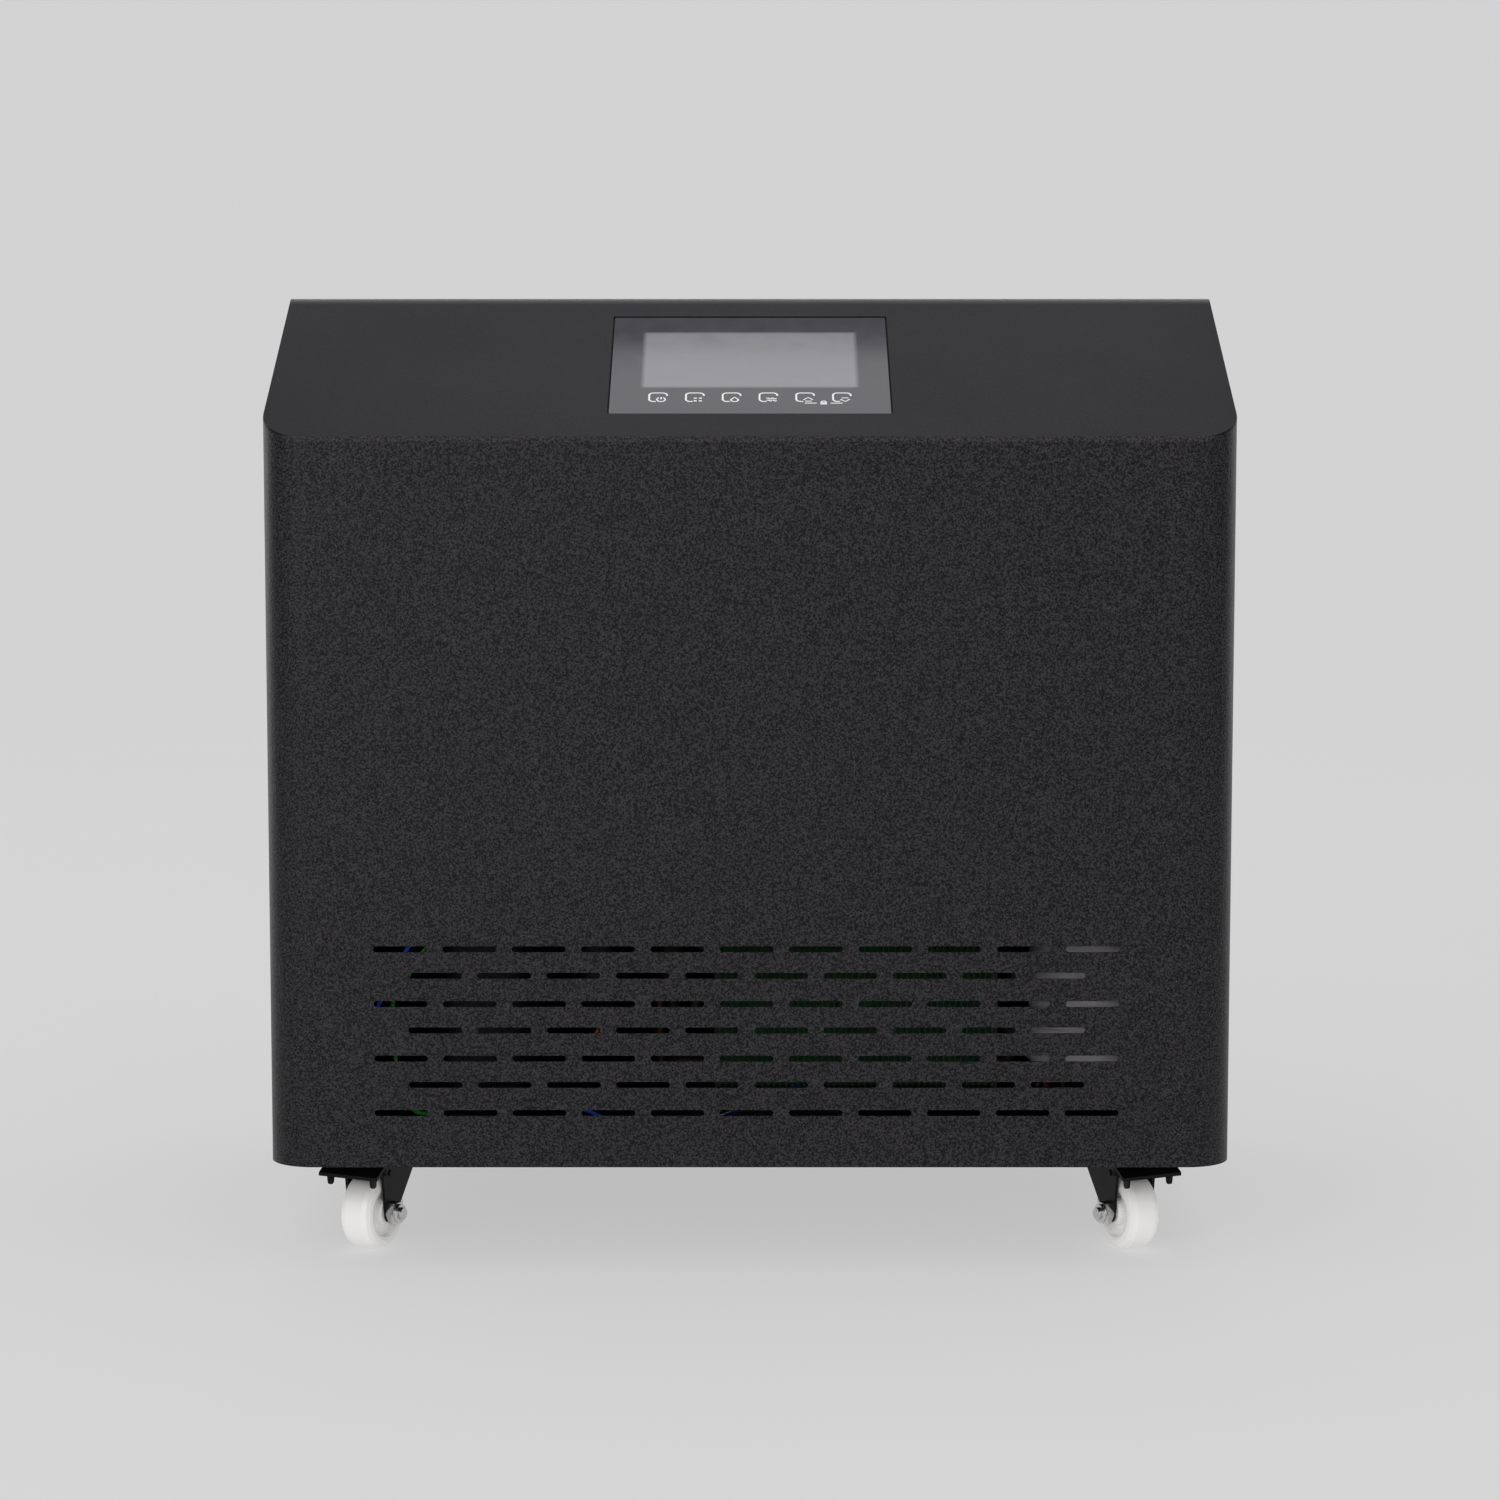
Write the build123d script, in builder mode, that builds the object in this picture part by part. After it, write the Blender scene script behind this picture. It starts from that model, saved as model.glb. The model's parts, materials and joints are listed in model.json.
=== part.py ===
from build123d import *
import math
import os

# Portable water chiller: a sheet-metal cabinet on four castors, with a sloping touch controller.
# Millimetres. +Z is up, the front faces -Y, and the floor is z = 0 under the middle of the object.
os.makedirs("parts", exist_ok=True)

# ---- cabinet -------------------------------------------------------------------------------
WIDTH = 630.0
DEPTH = 440.0
FRONT_HEIGHT = 475.6       # casing bottom to the bend under the slope
SLOPE_ANGLE = 24.84        # of the control slope, from level
SLOPE_RUN = 192.2          # how far back the slope reaches
CORNER_R = 30.0            # upright front corners
REAR_CORNER_R = 5.0
SHEET = 1.5
LIP_BEND_R = 3.0
CREST_BEND_R = 25.0
RETURN_FLANGE = 18.0       # rear edges of the side walls, turned inwards
COVER_FLANGE = 20.0        # rear edge of the top cover, turned down
SPIGOT_REACH = 34.0        # water spigots, behind the rear panel

# ---- vents ---------------------------------------------------------------------------------
SLOT_LENGTH = 35.0
SLOT_HEIGHT = 4.0
SLOT_PITCH = 45.0
SLOT_ROW_PITCH = 36.0
LONG_ROWS, LONG_ROW_SLOTS, LONG_ROW_BASE = 4, 11, 36.0
SHORT_ROWS, SHORT_ROW_SLOTS, SHORT_ROW_BASE = 3, 10, 54.6
VENT_SHIFT = -2.2          # the vent field sits a little left of the middle
EXHAUST_RINGS = ((30.0, 6), (46.0, 8), (62.0, 10), (78.0, 12), (94.0, 14))
EXHAUST_BRIDGE = 9.0
EXHAUST_SLOT = 4.0

# ---- touch controller ----------------------------------------------------------------------
GLASS_W, GLASS_H, GLASS_THICK = 183.0, 146.9, 3.0
GLASS_START = 34.4         # lower edge of the glass, up the slope from the bend
GLASS_SET = 0.2            # below the face of the slope
SIDE_GAP, LOWER_GAP, UPPER_GAP = 1.1, 0.3, 1.7
GASKET_SET = 1.0
LCD_W, LCD_H, LCD_THICK, LCD_MID = 147.0, 90.0, 6.0, 115.4
TRAY_DEPTH = 30.0
TRAY_WALL = 2.0
TRAY_FLANGE = 8.0

# ---- castors -------------------------------------------------------------------------------
CASTOR_HEIGHT = 69.0
CASTOR_X = 244.0
CASTOR_INSET = 88.0        # swivel axis from the front and from the rear
CASTOR_TRAIL = 22.0
WHEEL_R, WHEEL_W = 25.0, 24.0
AXLE_R, RUNNING_GAP = 4.0, 0.05
FORK_GAP, FORK_SHEET = 26.4, 2.0
CROWN_TOP = 58.0
PLATE_L, PLATE_W, PLATE_THICK = 62.0, 46.0, 2.5
PLATE_HOLES_L, PLATE_HOLES_W, PLATE_HOLE_R = 46.0, 31.0, 3.2
KINGPIN_R = 5.0
PEDAL_PIVOT = (27.0, 53.0)  # along the trail, and above the floor
PEDAL_PIN_R, PEDAL_PIN_REACH = 2.0, 5.0
PEDAL_W, SHOE_W, EAR_THICK = 45.0, 18.0, 1.8

# ---- machinery, from the middle of the front face, inwards, and up from the casing bottom ----
COMPRESSOR = (-190.0, 150.0)
COMPRESSOR_R = 58.0
ACCUMULATOR = (-105.0, 182.0)
ACCUMULATOR_R = 25.0
CONDENSER_X, CONDENSER_W = 70.0, 184.0
CONDENSER_Y, CONDENSER_D = 45.0, 45.0
CONDENSER_Z, CONDENSER_H = 45.0, 300.0
FIN_PITCH, FIN_GAP, FIN_RELIEF = 4.0, 3.0, 5.0
TUBE_ROWS, TUBE_ROW_PITCH, TUBE_FIRST_ROW = 12, 25.0, 57.0
LINE_D, SUCTION_D = 8.0, 10.0
FAN_Z = 195.0
FAN_R, FAN_HUB_R, FAN_BLADES = 78.0, 22.0, 5
EXCHANGER = (243.0, 95.0)
EXCHANGER_R = 55.0
EXCHANGER_Z, EXCHANGER_H = 55.0, 280.0
PUMP_X, PUMP_Z = 120.0, 62.0
HOSE_R, HOSE_BORE_R, STUB_R = 16.0, 12.5, 12.45
HOSE_BEND = 32.0
WATER_IN = (PUMP_X, PUMP_Z)
WATER_OUT = (EXCHANGER[0], 285.0)
SPIGOT_R, SPIGOT_BORE_R = 12.5, 9.5
POWER = (-225.0, 120.0)
ROCKER = (-225.0, 175.0)

# ---- worked out from the above -------------------------------------------------------------
FRONT_Y = -(DEPTH + SPIGOT_REACH) / 2
REAR_Y = FRONT_Y + DEPTH
BODY_DEPTH = DEPTH - SHEET
CASE_Z = CASTOR_HEIGHT
BEND_Z = CASE_Z + FRONT_HEIGHT
SLOPE_TAN = math.tan(math.radians(SLOPE_ANGLE))
SLOPE_COS = math.cos(math.radians(SLOPE_ANGLE))
SLOPE_SIN = math.sin(math.radians(SLOPE_ANGLE))
TOP_Z = BEND_Z + SLOPE_RUN * SLOPE_TAN
CASE_HEIGHT = TOP_Z - CASE_Z
SLOPE = Plane(
    origin=(0, FRONT_Y, BEND_Z), x_dir=(1, 0, 0), z_dir=(0, -SLOPE_SIN, SLOPE_COS)
)
MACHINE_SIDE = Plane(origin=(0, FRONT_Y, CASE_Z), x_dir=(1, 0, 0), z_dir=(0, -1, 0))


def inside(x, y, z):
    """A point from the middle of the front face, inwards, and up from the casing bottom."""
    return Vector(x, FRONT_Y + y, CASE_Z + z)


def upright(y):
    """An upright plane facing the front, y behind the front face; its axes are X and up."""
    return MACHINE_SIDE.offset(-y)


def level(z):
    """A level plane z above the casing bottom; its axes are X and inwards from the front."""
    return Plane(origin=(0, FRONT_Y, CASE_Z + z), x_dir=(1, 0, 0), z_dir=(0, 0, 1))


def save(piece, node):
    piece.part.label = node
    export_step(piece.part, f"parts/{node}.step")


def save_tubes(node, diameter, bend, *routes, bore=0.0):
    """Pipes, hoses or leads, each along straight runs joined by tangent arcs."""
    with BuildPart() as piece:
        for points in routes:
            with BuildLine() as route:
                if len(points) > 2:
                    FilletPolyline(*[inside(*point) for point in points], radius=bend)
                else:
                    Line(*[inside(*point) for point in points])
            with BuildSketch(Plane(origin=route.line @ 0, z_dir=route.line % 0)):
                Circle(diameter / 2)
                if bore:
                    Circle(bore / 2, mode=Mode.SUBTRACT)
            sweep()
    save(piece, node)


# ---- cabinet outlines ----------------------------------------------------------------------
def cabinet_plan(depth, inset):
    """Plan of the cabinet at floor level: wide front corners and tight rear corners."""
    with BuildSketch() as plan:
        with Locations((0, FRONT_Y + depth / 2)):
            Rectangle(WIDTH - 2 * inset, depth - 2 * inset)
        fillet(plan.vertices().group_by(Axis.Y)[0], CORNER_R - inset)
        fillet(plan.vertices().group_by(Axis.Y)[-1], REAR_CORNER_R - inset)
    return plan.sketch


def cover_band():
    """Side view of the top cover: lip, slope, level top and rear flange, one sheet thick."""
    with BuildSketch(Plane.YZ) as band:
        with BuildLine():
            lip = (FRONT_Y, BEND_Z - LIP_BEND_R)
            bend = (FRONT_Y, BEND_Z)
            crest = (FRONT_Y + SLOPE_RUN, TOP_Z)
            rear = (REAR_Y, TOP_Z)
            hem = (REAR_Y, TOP_Z - COVER_FLANGE)
            outer = FilletPolyline(
                lip, bend, crest, rear, hem, radius=(LIP_BEND_R, CREST_BEND_R, LIP_BEND_R)
            )
            offset(outer, amount=SHEET, side=Side.RIGHT)
        make_face()
    return band.sketch


def wall_outline():
    """Side view of the walls, up to the underside of the top cover."""
    with BuildSketch(Plane.YZ) as walls:
        drop = SHEET / SLOPE_COS
        crest_y = FRONT_Y + SLOPE_RUN + SHEET * math.tan(math.radians(SLOPE_ANGLE / 2))
        with BuildLine():
            Polyline(
                (FRONT_Y, CASE_Z),
                (FRONT_Y, BEND_Z - LIP_BEND_R),
                (FRONT_Y + SHEET, BEND_Z - LIP_BEND_R),
                (FRONT_Y + SHEET, BEND_Z + SHEET * SLOPE_TAN - drop),
                (crest_y, TOP_Z - SHEET),
                (REAR_Y - SHEET, TOP_Z - SHEET),
                (REAR_Y - SHEET, CASE_Z),
                close=True,
            )
        make_face()
        fillet(walls.vertices().group_by(Axis.Y)[-1].sort_by(Axis.X)[0], CREST_BEND_R - SHEET)
        fillet(walls.vertices().group_by(Axis.Y)[-1].sort_by(Axis.X)[-1], LIP_BEND_R - SHEET)
    return walls.sketch


FULL_PLAN = cabinet_plan(DEPTH, 0)
BODY_PLAN = cabinet_plan(BODY_DEPTH, 0)
BODY_INNER_PLAN = cabinet_plan(BODY_DEPTH, SHEET)
PAN_PLAN = cabinet_plan(BODY_DEPTH, SHEET + 0.1)
PAN_INNER_PLAN = cabinet_plan(BODY_DEPTH, 2 * SHEET + 0.1)
COVER_BAND = cover_band()
WALL_OUTLINE = wall_outline()
SCREW_HEIGHTS = (25.0, 150.0, 275.0, 400.0, 525.0)
SCREW_X = WIDTH / 2 - RETURN_FLANGE / 2 - 1.5
SCREW_R = 2.0
REAR_SCREWS = [(side * SCREW_X, z) for side in (-1, 1) for z in SCREW_HEIGHTS]

# Front and sides: one sheet bent round both front corners, with the air slots
with BuildPart() as front_wrap:
    extrude(BODY_PLAN, amount=TOP_Z)
    extrude(BODY_INNER_PLAN, amount=TOP_Z, mode=Mode.SUBTRACT)
    with BuildSketch():
        with Locations((0, FRONT_Y + BODY_DEPTH)):
            Rectangle(WIDTH - 2 * RETURN_FLANGE, 4 * SHEET)
    extrude(amount=TOP_Z, mode=Mode.SUBTRACT)
    extrude(WALL_OUTLINE, amount=WIDTH, both=True, mode=Mode.INTERSECT)
    with BuildSketch(upright(0)):
        long_mid = LONG_ROW_BASE + SLOT_ROW_PITCH * (LONG_ROWS - 1) / 2
        with Locations((VENT_SHIFT, long_mid)):
            with GridLocations(SLOT_PITCH, SLOT_ROW_PITCH, LONG_ROW_SLOTS, LONG_ROWS):
                SlotOverall(SLOT_LENGTH, SLOT_HEIGHT)
        short_mid = SHORT_ROW_BASE + SLOT_ROW_PITCH * (SHORT_ROWS - 1) / 2
        with Locations((VENT_SHIFT, short_mid)):
            with GridLocations(SLOT_PITCH, SLOT_ROW_PITCH, SHORT_ROW_SLOTS, SHORT_ROWS):
                SlotOverall(SLOT_LENGTH, SLOT_HEIGHT)
    extrude(amount=-2 * SHEET, mode=Mode.SUBTRACT)
    with BuildSketch(upright(DEPTH)):
        with Locations(*REAR_SCREWS):
            Circle(SCREW_R + 0.1)
    extrude(amount=4 * SHEET, mode=Mode.SUBTRACT)
save(front_wrap, "front_wrap")

# Top cover: slope and level top in one bent sheet, with the window for the controller
APERTURE_W = GLASS_W + 2 * SIDE_GAP
APERTURE_H = GLASS_H + LOWER_GAP + UPPER_GAP
APERTURE_MID = GLASS_START - LOWER_GAP + APERTURE_H / 2
GLASS_MID = GLASS_START + GLASS_H / 2
with BuildPart() as top_cover:
    extrude(COVER_BAND, amount=WIDTH / 2, both=True)
    extrude(FULL_PLAN, amount=2 * TOP_Z, mode=Mode.INTERSECT)
    with BuildSketch(SLOPE):
        with Locations((0, APERTURE_MID)):
            RectangleRounded(APERTURE_W, APERTURE_H, 1.5)
    extrude(amount=-3 * SHEET, mode=Mode.SUBTRACT)
save(top_cover, "top_cover")

# Castors: X, distance from the front, heading of the trail, side of the nut, and brake
CASTORS = {
    "front_left": (-CASTOR_X, CASTOR_INSET, -115.7, -1, True),
    "front_right": (CASTOR_X, CASTOR_INSET, -64.3, 1, True),
    "rear_left": (-CASTOR_X, DEPTH - CASTOR_INSET, 118.0, 1, False),
    "rear_right": (CASTOR_X, DEPTH - CASTOR_INSET, 74.0, -1, False),
}

# Base pan: floor and upturned edge, drilled for the castors
PAN_FLOOR = 2.0
PAN_EDGE = 16.0
CASTOR_HOLES = [
    (x + dx, y + dy)
    for x, y, *_ in CASTORS.values()
    for dx in (-PLATE_HOLES_L / 2, PLATE_HOLES_L / 2)
    for dy in (-PLATE_HOLES_W / 2, PLATE_HOLES_W / 2)
]
with BuildPart() as base_pan:
    extrude(PAN_PLAN, amount=CASE_Z + PAN_EDGE)
    extrude(PAN_INNER_PLAN, amount=CASE_Z + PAN_EDGE, mode=Mode.SUBTRACT)
    extrude(PAN_PLAN, amount=CASE_Z + PAN_FLOOR)
    with BuildSketch():
        Rectangle(2 * WIDTH, 2 * DEPTH)
    extrude(amount=CASE_Z, mode=Mode.SUBTRACT)
    with BuildSketch(level(0)):
        with Locations(*CASTOR_HOLES):
            Circle(PLATE_HOLE_R)
    extrude(amount=PAN_FLOOR, mode=Mode.SUBTRACT)
save(base_pan, "base_pan")

# Rear panel: exhaust slots in rings, water ports, power inlet and switch cut-outs
PANEL_W = WIDTH - 2 * REAR_CORNER_R
PANEL_TOP = CASE_HEIGHT - COVER_FLANGE - 0.5
PORT_R = 17.0
with BuildSketch() as exhaust:
    with Locations((CONDENSER_X, FAN_Z)):
        for ring_r, count in sorted(EXHAUST_RINGS, reverse=True):
            Circle(ring_r + EXHAUST_SLOT / 2)
            Circle(ring_r - EXHAUST_SLOT / 2, mode=Mode.SUBTRACT)
        for ring_r, count in EXHAUST_RINGS:
            with PolarLocations(ring_r, count):
                Rectangle(2 * EXHAUST_SLOT, EXHAUST_BRIDGE, mode=Mode.SUBTRACT)
EXHAUST = exhaust.sketch
INLET_W, INLET_H = 27.4, 20.4
ROCKER_W, ROCKER_H = 13.0, 19.4
with BuildPart() as rear_panel:
    with BuildSketch(upright(BODY_DEPTH)):
        with Locations((0, PANEL_TOP / 2)):
            RectangleRounded(PANEL_W, PANEL_TOP, REAR_CORNER_R)
        add(EXHAUST, mode=Mode.SUBTRACT)
        with Locations(WATER_IN, WATER_OUT):
            Circle(PORT_R, mode=Mode.SUBTRACT)
        with Locations(POWER):
            Rectangle(INLET_W, INLET_H, mode=Mode.SUBTRACT)
        with Locations(ROCKER):
            Rectangle(ROCKER_W, ROCKER_H, mode=Mode.SUBTRACT)
        with Locations(*REAR_SCREWS):
            Circle(SCREW_R + 0.1, mode=Mode.SUBTRACT)
    extrude(amount=-SHEET)
save(rear_panel, "rear_panel")

SCREW_HEAD_R, SCREW_HEAD, SCREW_REACH = 4.0, 2.4, 6.0
with BuildPart() as rear_screws:
    with BuildSketch(upright(DEPTH)):
        with Locations(*REAR_SCREWS):
            Circle(SCREW_HEAD_R)
    extrude(amount=-SCREW_HEAD)
    fillet(rear_screws.edges().group_by(Axis.Y)[-1], 1.6)
    with BuildSketch(upright(DEPTH)):
        with Locations(*REAR_SCREWS):
            Circle(SCREW_R)
    extrude(amount=SCREW_REACH)
save(rear_screws, "rear_screws")

# ---- touch controller ----------------------------------------------------------------------
with BuildPart() as display_glass:
    with BuildSketch(SLOPE.offset(-GLASS_SET)):
        with Locations((0, GLASS_MID)):
            RectangleRounded(GLASS_W, GLASS_H, 1.0)
    extrude(amount=-GLASS_THICK)
save(display_glass, "display_glass")

GLASS_BACK = GLASS_SET + GLASS_THICK
with BuildPart() as display_gasket:
    with BuildSketch(SLOPE.offset(-GLASS_BACK)):
        with Locations((0, APERTURE_MID)):
            RectangleRounded(APERTURE_W - 0.1, APERTURE_H - 0.1, 1.5)
        with Locations((0, GLASS_MID)):
            RectangleRounded(GLASS_W + 0.1, GLASS_H + 0.1, 1.0, mode=Mode.SUBTRACT)
    extrude(amount=GLASS_BACK - GASKET_SET)
save(display_gasket, "display_gasket")

with BuildPart() as lcd_module:
    with BuildSketch(SLOPE.offset(-GLASS_BACK)):
        with Locations((0, LCD_MID)):
            Rectangle(LCD_W, LCD_H)
    extrude(amount=-LCD_THICK)
save(lcd_module, "lcd_module")

BOARD_SET, BOARD_THICK = 14.0, 1.6
with BuildPart() as touch_board:
    with BuildSketch(SLOPE.offset(-BOARD_SET)):
        with Locations((0, GLASS_MID)):
            Rectangle(GLASS_W - 8, GLASS_H - 8)
    extrude(amount=-BOARD_THICK)
    with BuildSketch(SLOPE.offset(-BOARD_SET - BOARD_THICK)):
        with Locations((-50, GLASS_MID), (10, GLASS_MID + 20), (55, GLASS_MID - 15)):
            Rectangle(22, 16)
    extrude(amount=-4)
save(touch_board, "touch_board")

with BuildPart() as control_tray:
    with BuildSketch(SLOPE.offset(-SHEET)):
        with Locations((0, APERTURE_MID)):
            Rectangle(APERTURE_W + 2 * TRAY_FLANGE, APERTURE_H + 2 * TRAY_FLANGE)
    extrude(amount=-TRAY_WALL)
    with BuildSketch(SLOPE.offset(-SHEET)):
        with Locations((0, APERTURE_MID)):
            Rectangle(APERTURE_W + 2 * TRAY_WALL, APERTURE_H + 2 * TRAY_WALL)
    extrude(amount=-TRAY_DEPTH)
    with BuildSketch(SLOPE.offset(-SHEET)):
        with Locations((0, APERTURE_MID)):
            Rectangle(APERTURE_W, APERTURE_H)
    extrude(amount=-TRAY_DEPTH + TRAY_WALL, mode=Mode.SUBTRACT)
save(control_tray, "control_tray")

# ---- condenser and fan ---------------------------------------------------------------------
CONDENSER_MID_Z = CONDENSER_Z + CONDENSER_H / 2
TUBE_Y = CONDENSER_Y + CONDENSER_D / 2
with BuildPart() as condenser_fins:
    with BuildSketch(level(CONDENSER_Z)):
        with Locations((CONDENSER_X, TUBE_Y)):
            Rectangle(CONDENSER_W, CONDENSER_D)
        fin_gaps = int(CONDENSER_W / FIN_PITCH) - 1
        for face_y in (CONDENSER_Y, CONDENSER_Y + CONDENSER_D):
            with Locations((CONDENSER_X, face_y)):
                with GridLocations(FIN_PITCH, 1, fin_gaps, 1):
                    Rectangle(FIN_GAP, 2 * FIN_RELIEF, mode=Mode.SUBTRACT)
    extrude(amount=CONDENSER_H)
save(condenser_fins, "condenser_fins")

END_PLATE = 1.5
END_LEFT = CONDENSER_X - CONDENSER_W / 2 - END_PLATE
END_RIGHT = CONDENSER_X + CONDENSER_W / 2 + END_PLATE
with BuildPart() as condenser_end_plates:
    with BuildSketch(level(PAN_FLOOR)):
        with Locations((END_LEFT + END_PLATE / 2, TUBE_Y), (END_RIGHT - END_PLATE / 2, TUBE_Y)):
            Rectangle(END_PLATE, CONDENSER_D + 6)
    extrude(amount=CONDENSER_Z + CONDENSER_H)
save(condenser_end_plates, "condenser_end_plates")


def row_height(row):
    return TUBE_FIRST_ROW + TUBE_ROW_PITCH * row


RIGHT_BENDS = [(END_RIGHT, row, 1) for row in range(0, TUBE_ROWS, 2)]
LEFT_BENDS = [(END_LEFT, row, -1) for row in range(1, TUBE_ROWS - 1, 2)]
with BuildPart() as condenser_bends:
    for end_x, row, outward in RIGHT_BENDS + LEFT_BENDS:
        start = inside(end_x, TUBE_Y, row_height(row))
        middle = start + Vector(0, 0, TUBE_ROW_PITCH / 2)
        with BuildSketch(Plane(origin=start, z_dir=(1, 0, 0))):
            Circle(LINE_D / 2)
        revolve(axis=Axis(middle, (0, -outward, 0)), revolution_arc=180)
save(condenser_bends, "condenser_bends")

SHROUD_Y = CONDENSER_Y + CONDENSER_D + 3.5
SHROUD_DEPTH = 26.0
COLLAR_DEPTH = 30.0
COLLAR_R = FAN_R + 4
FAN_PLATE_Y = SHROUD_Y + SHROUD_DEPTH
with BuildPart() as fan_shroud:
    with BuildSketch(upright(SHROUD_Y)):
        with Locations((CONDENSER_X, CONDENSER_MID_Z)):
            Rectangle(CONDENSER_W, CONDENSER_H)
    extrude(amount=-SHROUD_DEPTH)
    with BuildSketch(upright(SHROUD_Y)):
        with Locations((CONDENSER_X, CONDENSER_MID_Z)):
            Rectangle(CONDENSER_W - 2 * SHEET, CONDENSER_H - 2 * SHEET)
    extrude(amount=-SHROUD_DEPTH + SHEET, mode=Mode.SUBTRACT)
    with BuildSketch(upright(FAN_PLATE_Y)):
        with Locations((CONDENSER_X, FAN_Z)):
            Circle(COLLAR_R + SHEET)
    extrude(amount=-COLLAR_DEPTH)
    with BuildSketch(upright(SHROUD_Y)):
        with Locations((CONDENSER_X, FAN_Z)):
            Circle(COLLAR_R)
    extrude(amount=-SHROUD_DEPTH - COLLAR_DEPTH, mode=Mode.SUBTRACT)
save(fan_shroud, "fan_shroud")

HUB_DEPTH = 28.0
HUB_Y = FAN_PLATE_Y + 1.0
BLADE_Y = HUB_Y + HUB_DEPTH / 2
ROOT_CHORD, TIP_CHORD, BLADE_THICK = 24.0, 40.0, 1.8
ROOT_PITCH, TIP_PITCH = 50.0, 32.0
with BuildPart() as fan_blades:
    with BuildSketch(upright(HUB_Y)):
        with Locations((CONDENSER_X, FAN_Z)):
            Circle(FAN_HUB_R)
    extrude(amount=-HUB_DEPTH)
    for blade in range(FAN_BLADES):
        turn = math.radians(360 / FAN_BLADES * blade)
        radial = Vector(math.cos(turn), 0, math.sin(turn))
        tangent = Vector(-math.sin(turn), 0, math.cos(turn))
        for reach, chord, pitch in (
            (FAN_HUB_R - 3, ROOT_CHORD, ROOT_PITCH),
            (FAN_R - 2, TIP_CHORD, TIP_PITCH),
        ):
            lean = math.radians(pitch)
            along = tangent * math.cos(lean) + Vector(0, 1, 0) * math.sin(lean)
            foot = inside(CONDENSER_X, BLADE_Y, FAN_Z) + radial * reach
            with BuildSketch(Plane(origin=foot, x_dir=along, z_dir=radial)):
                Rectangle(chord, BLADE_THICK)
        loft()
save(fan_blades, "fan_blades")

BRACKET_Y = FAN_PLATE_Y + COLLAR_DEPTH + 8
BRACKET_H = 16.0
MOTOR_R, MOTOR_LENGTH = 35.0, 46.0
MOTOR_Y = BRACKET_Y + 2
SHAFT_IN_MOTOR = 20.0
with BuildPart() as fan_shaft:
    with BuildSketch(upright(HUB_Y + HUB_DEPTH)):
        with Locations((CONDENSER_X, FAN_Z)):
            Circle(AXLE_R)
    extrude(amount=-(MOTOR_Y + SHAFT_IN_MOTOR - HUB_Y - HUB_DEPTH))
save(fan_shaft, "fan_shaft")

with BuildPart() as fan_bracket:
    with BuildSketch(level(FAN_Z - BRACKET_H / 2)):
        with Locations((CONDENSER_X, BRACKET_Y + 1)):
            Rectangle(CONDENSER_W, 2)
        for side in (-1, 1):
            arm_x = CONDENSER_X + side * (CONDENSER_W / 2 - 1)
            with Locations((arm_x, (FAN_PLATE_Y + BRACKET_Y) / 2)):
                Rectangle(2, BRACKET_Y - FAN_PLATE_Y)
            with Locations((arm_x - side * 3, FAN_PLATE_Y + 1)):
                Rectangle(8, 2)
    extrude(amount=BRACKET_H)
    with BuildSketch(upright(BRACKET_Y)):
        with Locations((CONDENSER_X, FAN_Z)):
            Circle(6)
    extrude(amount=-3, mode=Mode.SUBTRACT)
save(fan_bracket, "fan_bracket")

with BuildPart() as fan_motor:
    with BuildSketch(upright(MOTOR_Y)):
        with Locations((CONDENSER_X, FAN_Z)):
            Circle(MOTOR_R)
    extrude(amount=-MOTOR_LENGTH)
    fillet(fan_motor.edges().filter_by(GeomType.CIRCLE), 5)
    with BuildSketch(upright(MOTOR_Y)):
        with Locations((CONDENSER_X, FAN_Z)):
            Circle(AXLE_R + RUNNING_GAP)
    extrude(amount=-SHAFT_IN_MOTOR - 1, mode=Mode.SUBTRACT)
save(fan_motor, "fan_motor")

# ---- compressor ----------------------------------------------------------------------------
FOOT_Z, FOOT_THICK, FOOT_REACH = 22.0, 3.0, 84.0
SHELL_TOP = 235.0
FOOT_POINTS = [
    (
        COMPRESSOR[0] + FOOT_REACH * math.cos(math.radians(angle)),
        COMPRESSOR[1] + FOOT_REACH * math.sin(math.radians(angle)),
    )
    for angle in (30, 150, 270)
]
with BuildPart() as compressor:
    with BuildSketch(level(FOOT_Z + FOOT_THICK)):
        with Locations(COMPRESSOR):
            Circle(COMPRESSOR_R)
    extrude(amount=SHELL_TOP - FOOT_Z - FOOT_THICK)
    fillet(compressor.edges().group_by(Axis.Z)[-1], 24)
    with BuildSketch(level(FOOT_Z)):
        with Locations(*FOOT_POINTS):
            Circle(15)
        make_hull()
        with Locations(*FOOT_POINTS):
            Circle(7, mode=Mode.SUBTRACT)
    extrude(amount=FOOT_THICK)
save(compressor, "compressor")

with BuildPart() as compressor_grommets:
    with BuildSketch(level(PAN_FLOOR)):
        with Locations(*FOOT_POINTS):
            Circle(11)
            Circle(4.2, mode=Mode.SUBTRACT)
    extrude(amount=FOOT_Z - PAN_FLOOR)
    with BuildSketch(level(FOOT_Z)):
        with Locations(*FOOT_POINTS):
            Circle(6.9)
            Circle(4.2, mode=Mode.SUBTRACT)
    extrude(amount=FOOT_THICK + 4)
save(compressor_grommets, "compressor_grommets")

with BuildPart() as terminal_cover:
    with BuildSketch(level(SHELL_TOP)):
        with Locations((COMPRESSOR[0] - 18, COMPRESSOR[1] - 6)):
            RectangleRounded(44, 40, 8)
    extrude(amount=24)
    fillet(terminal_cover.faces().sort_by(Axis.Z)[-1].edges(), 4)
save(terminal_cover, "terminal_cover")

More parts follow.
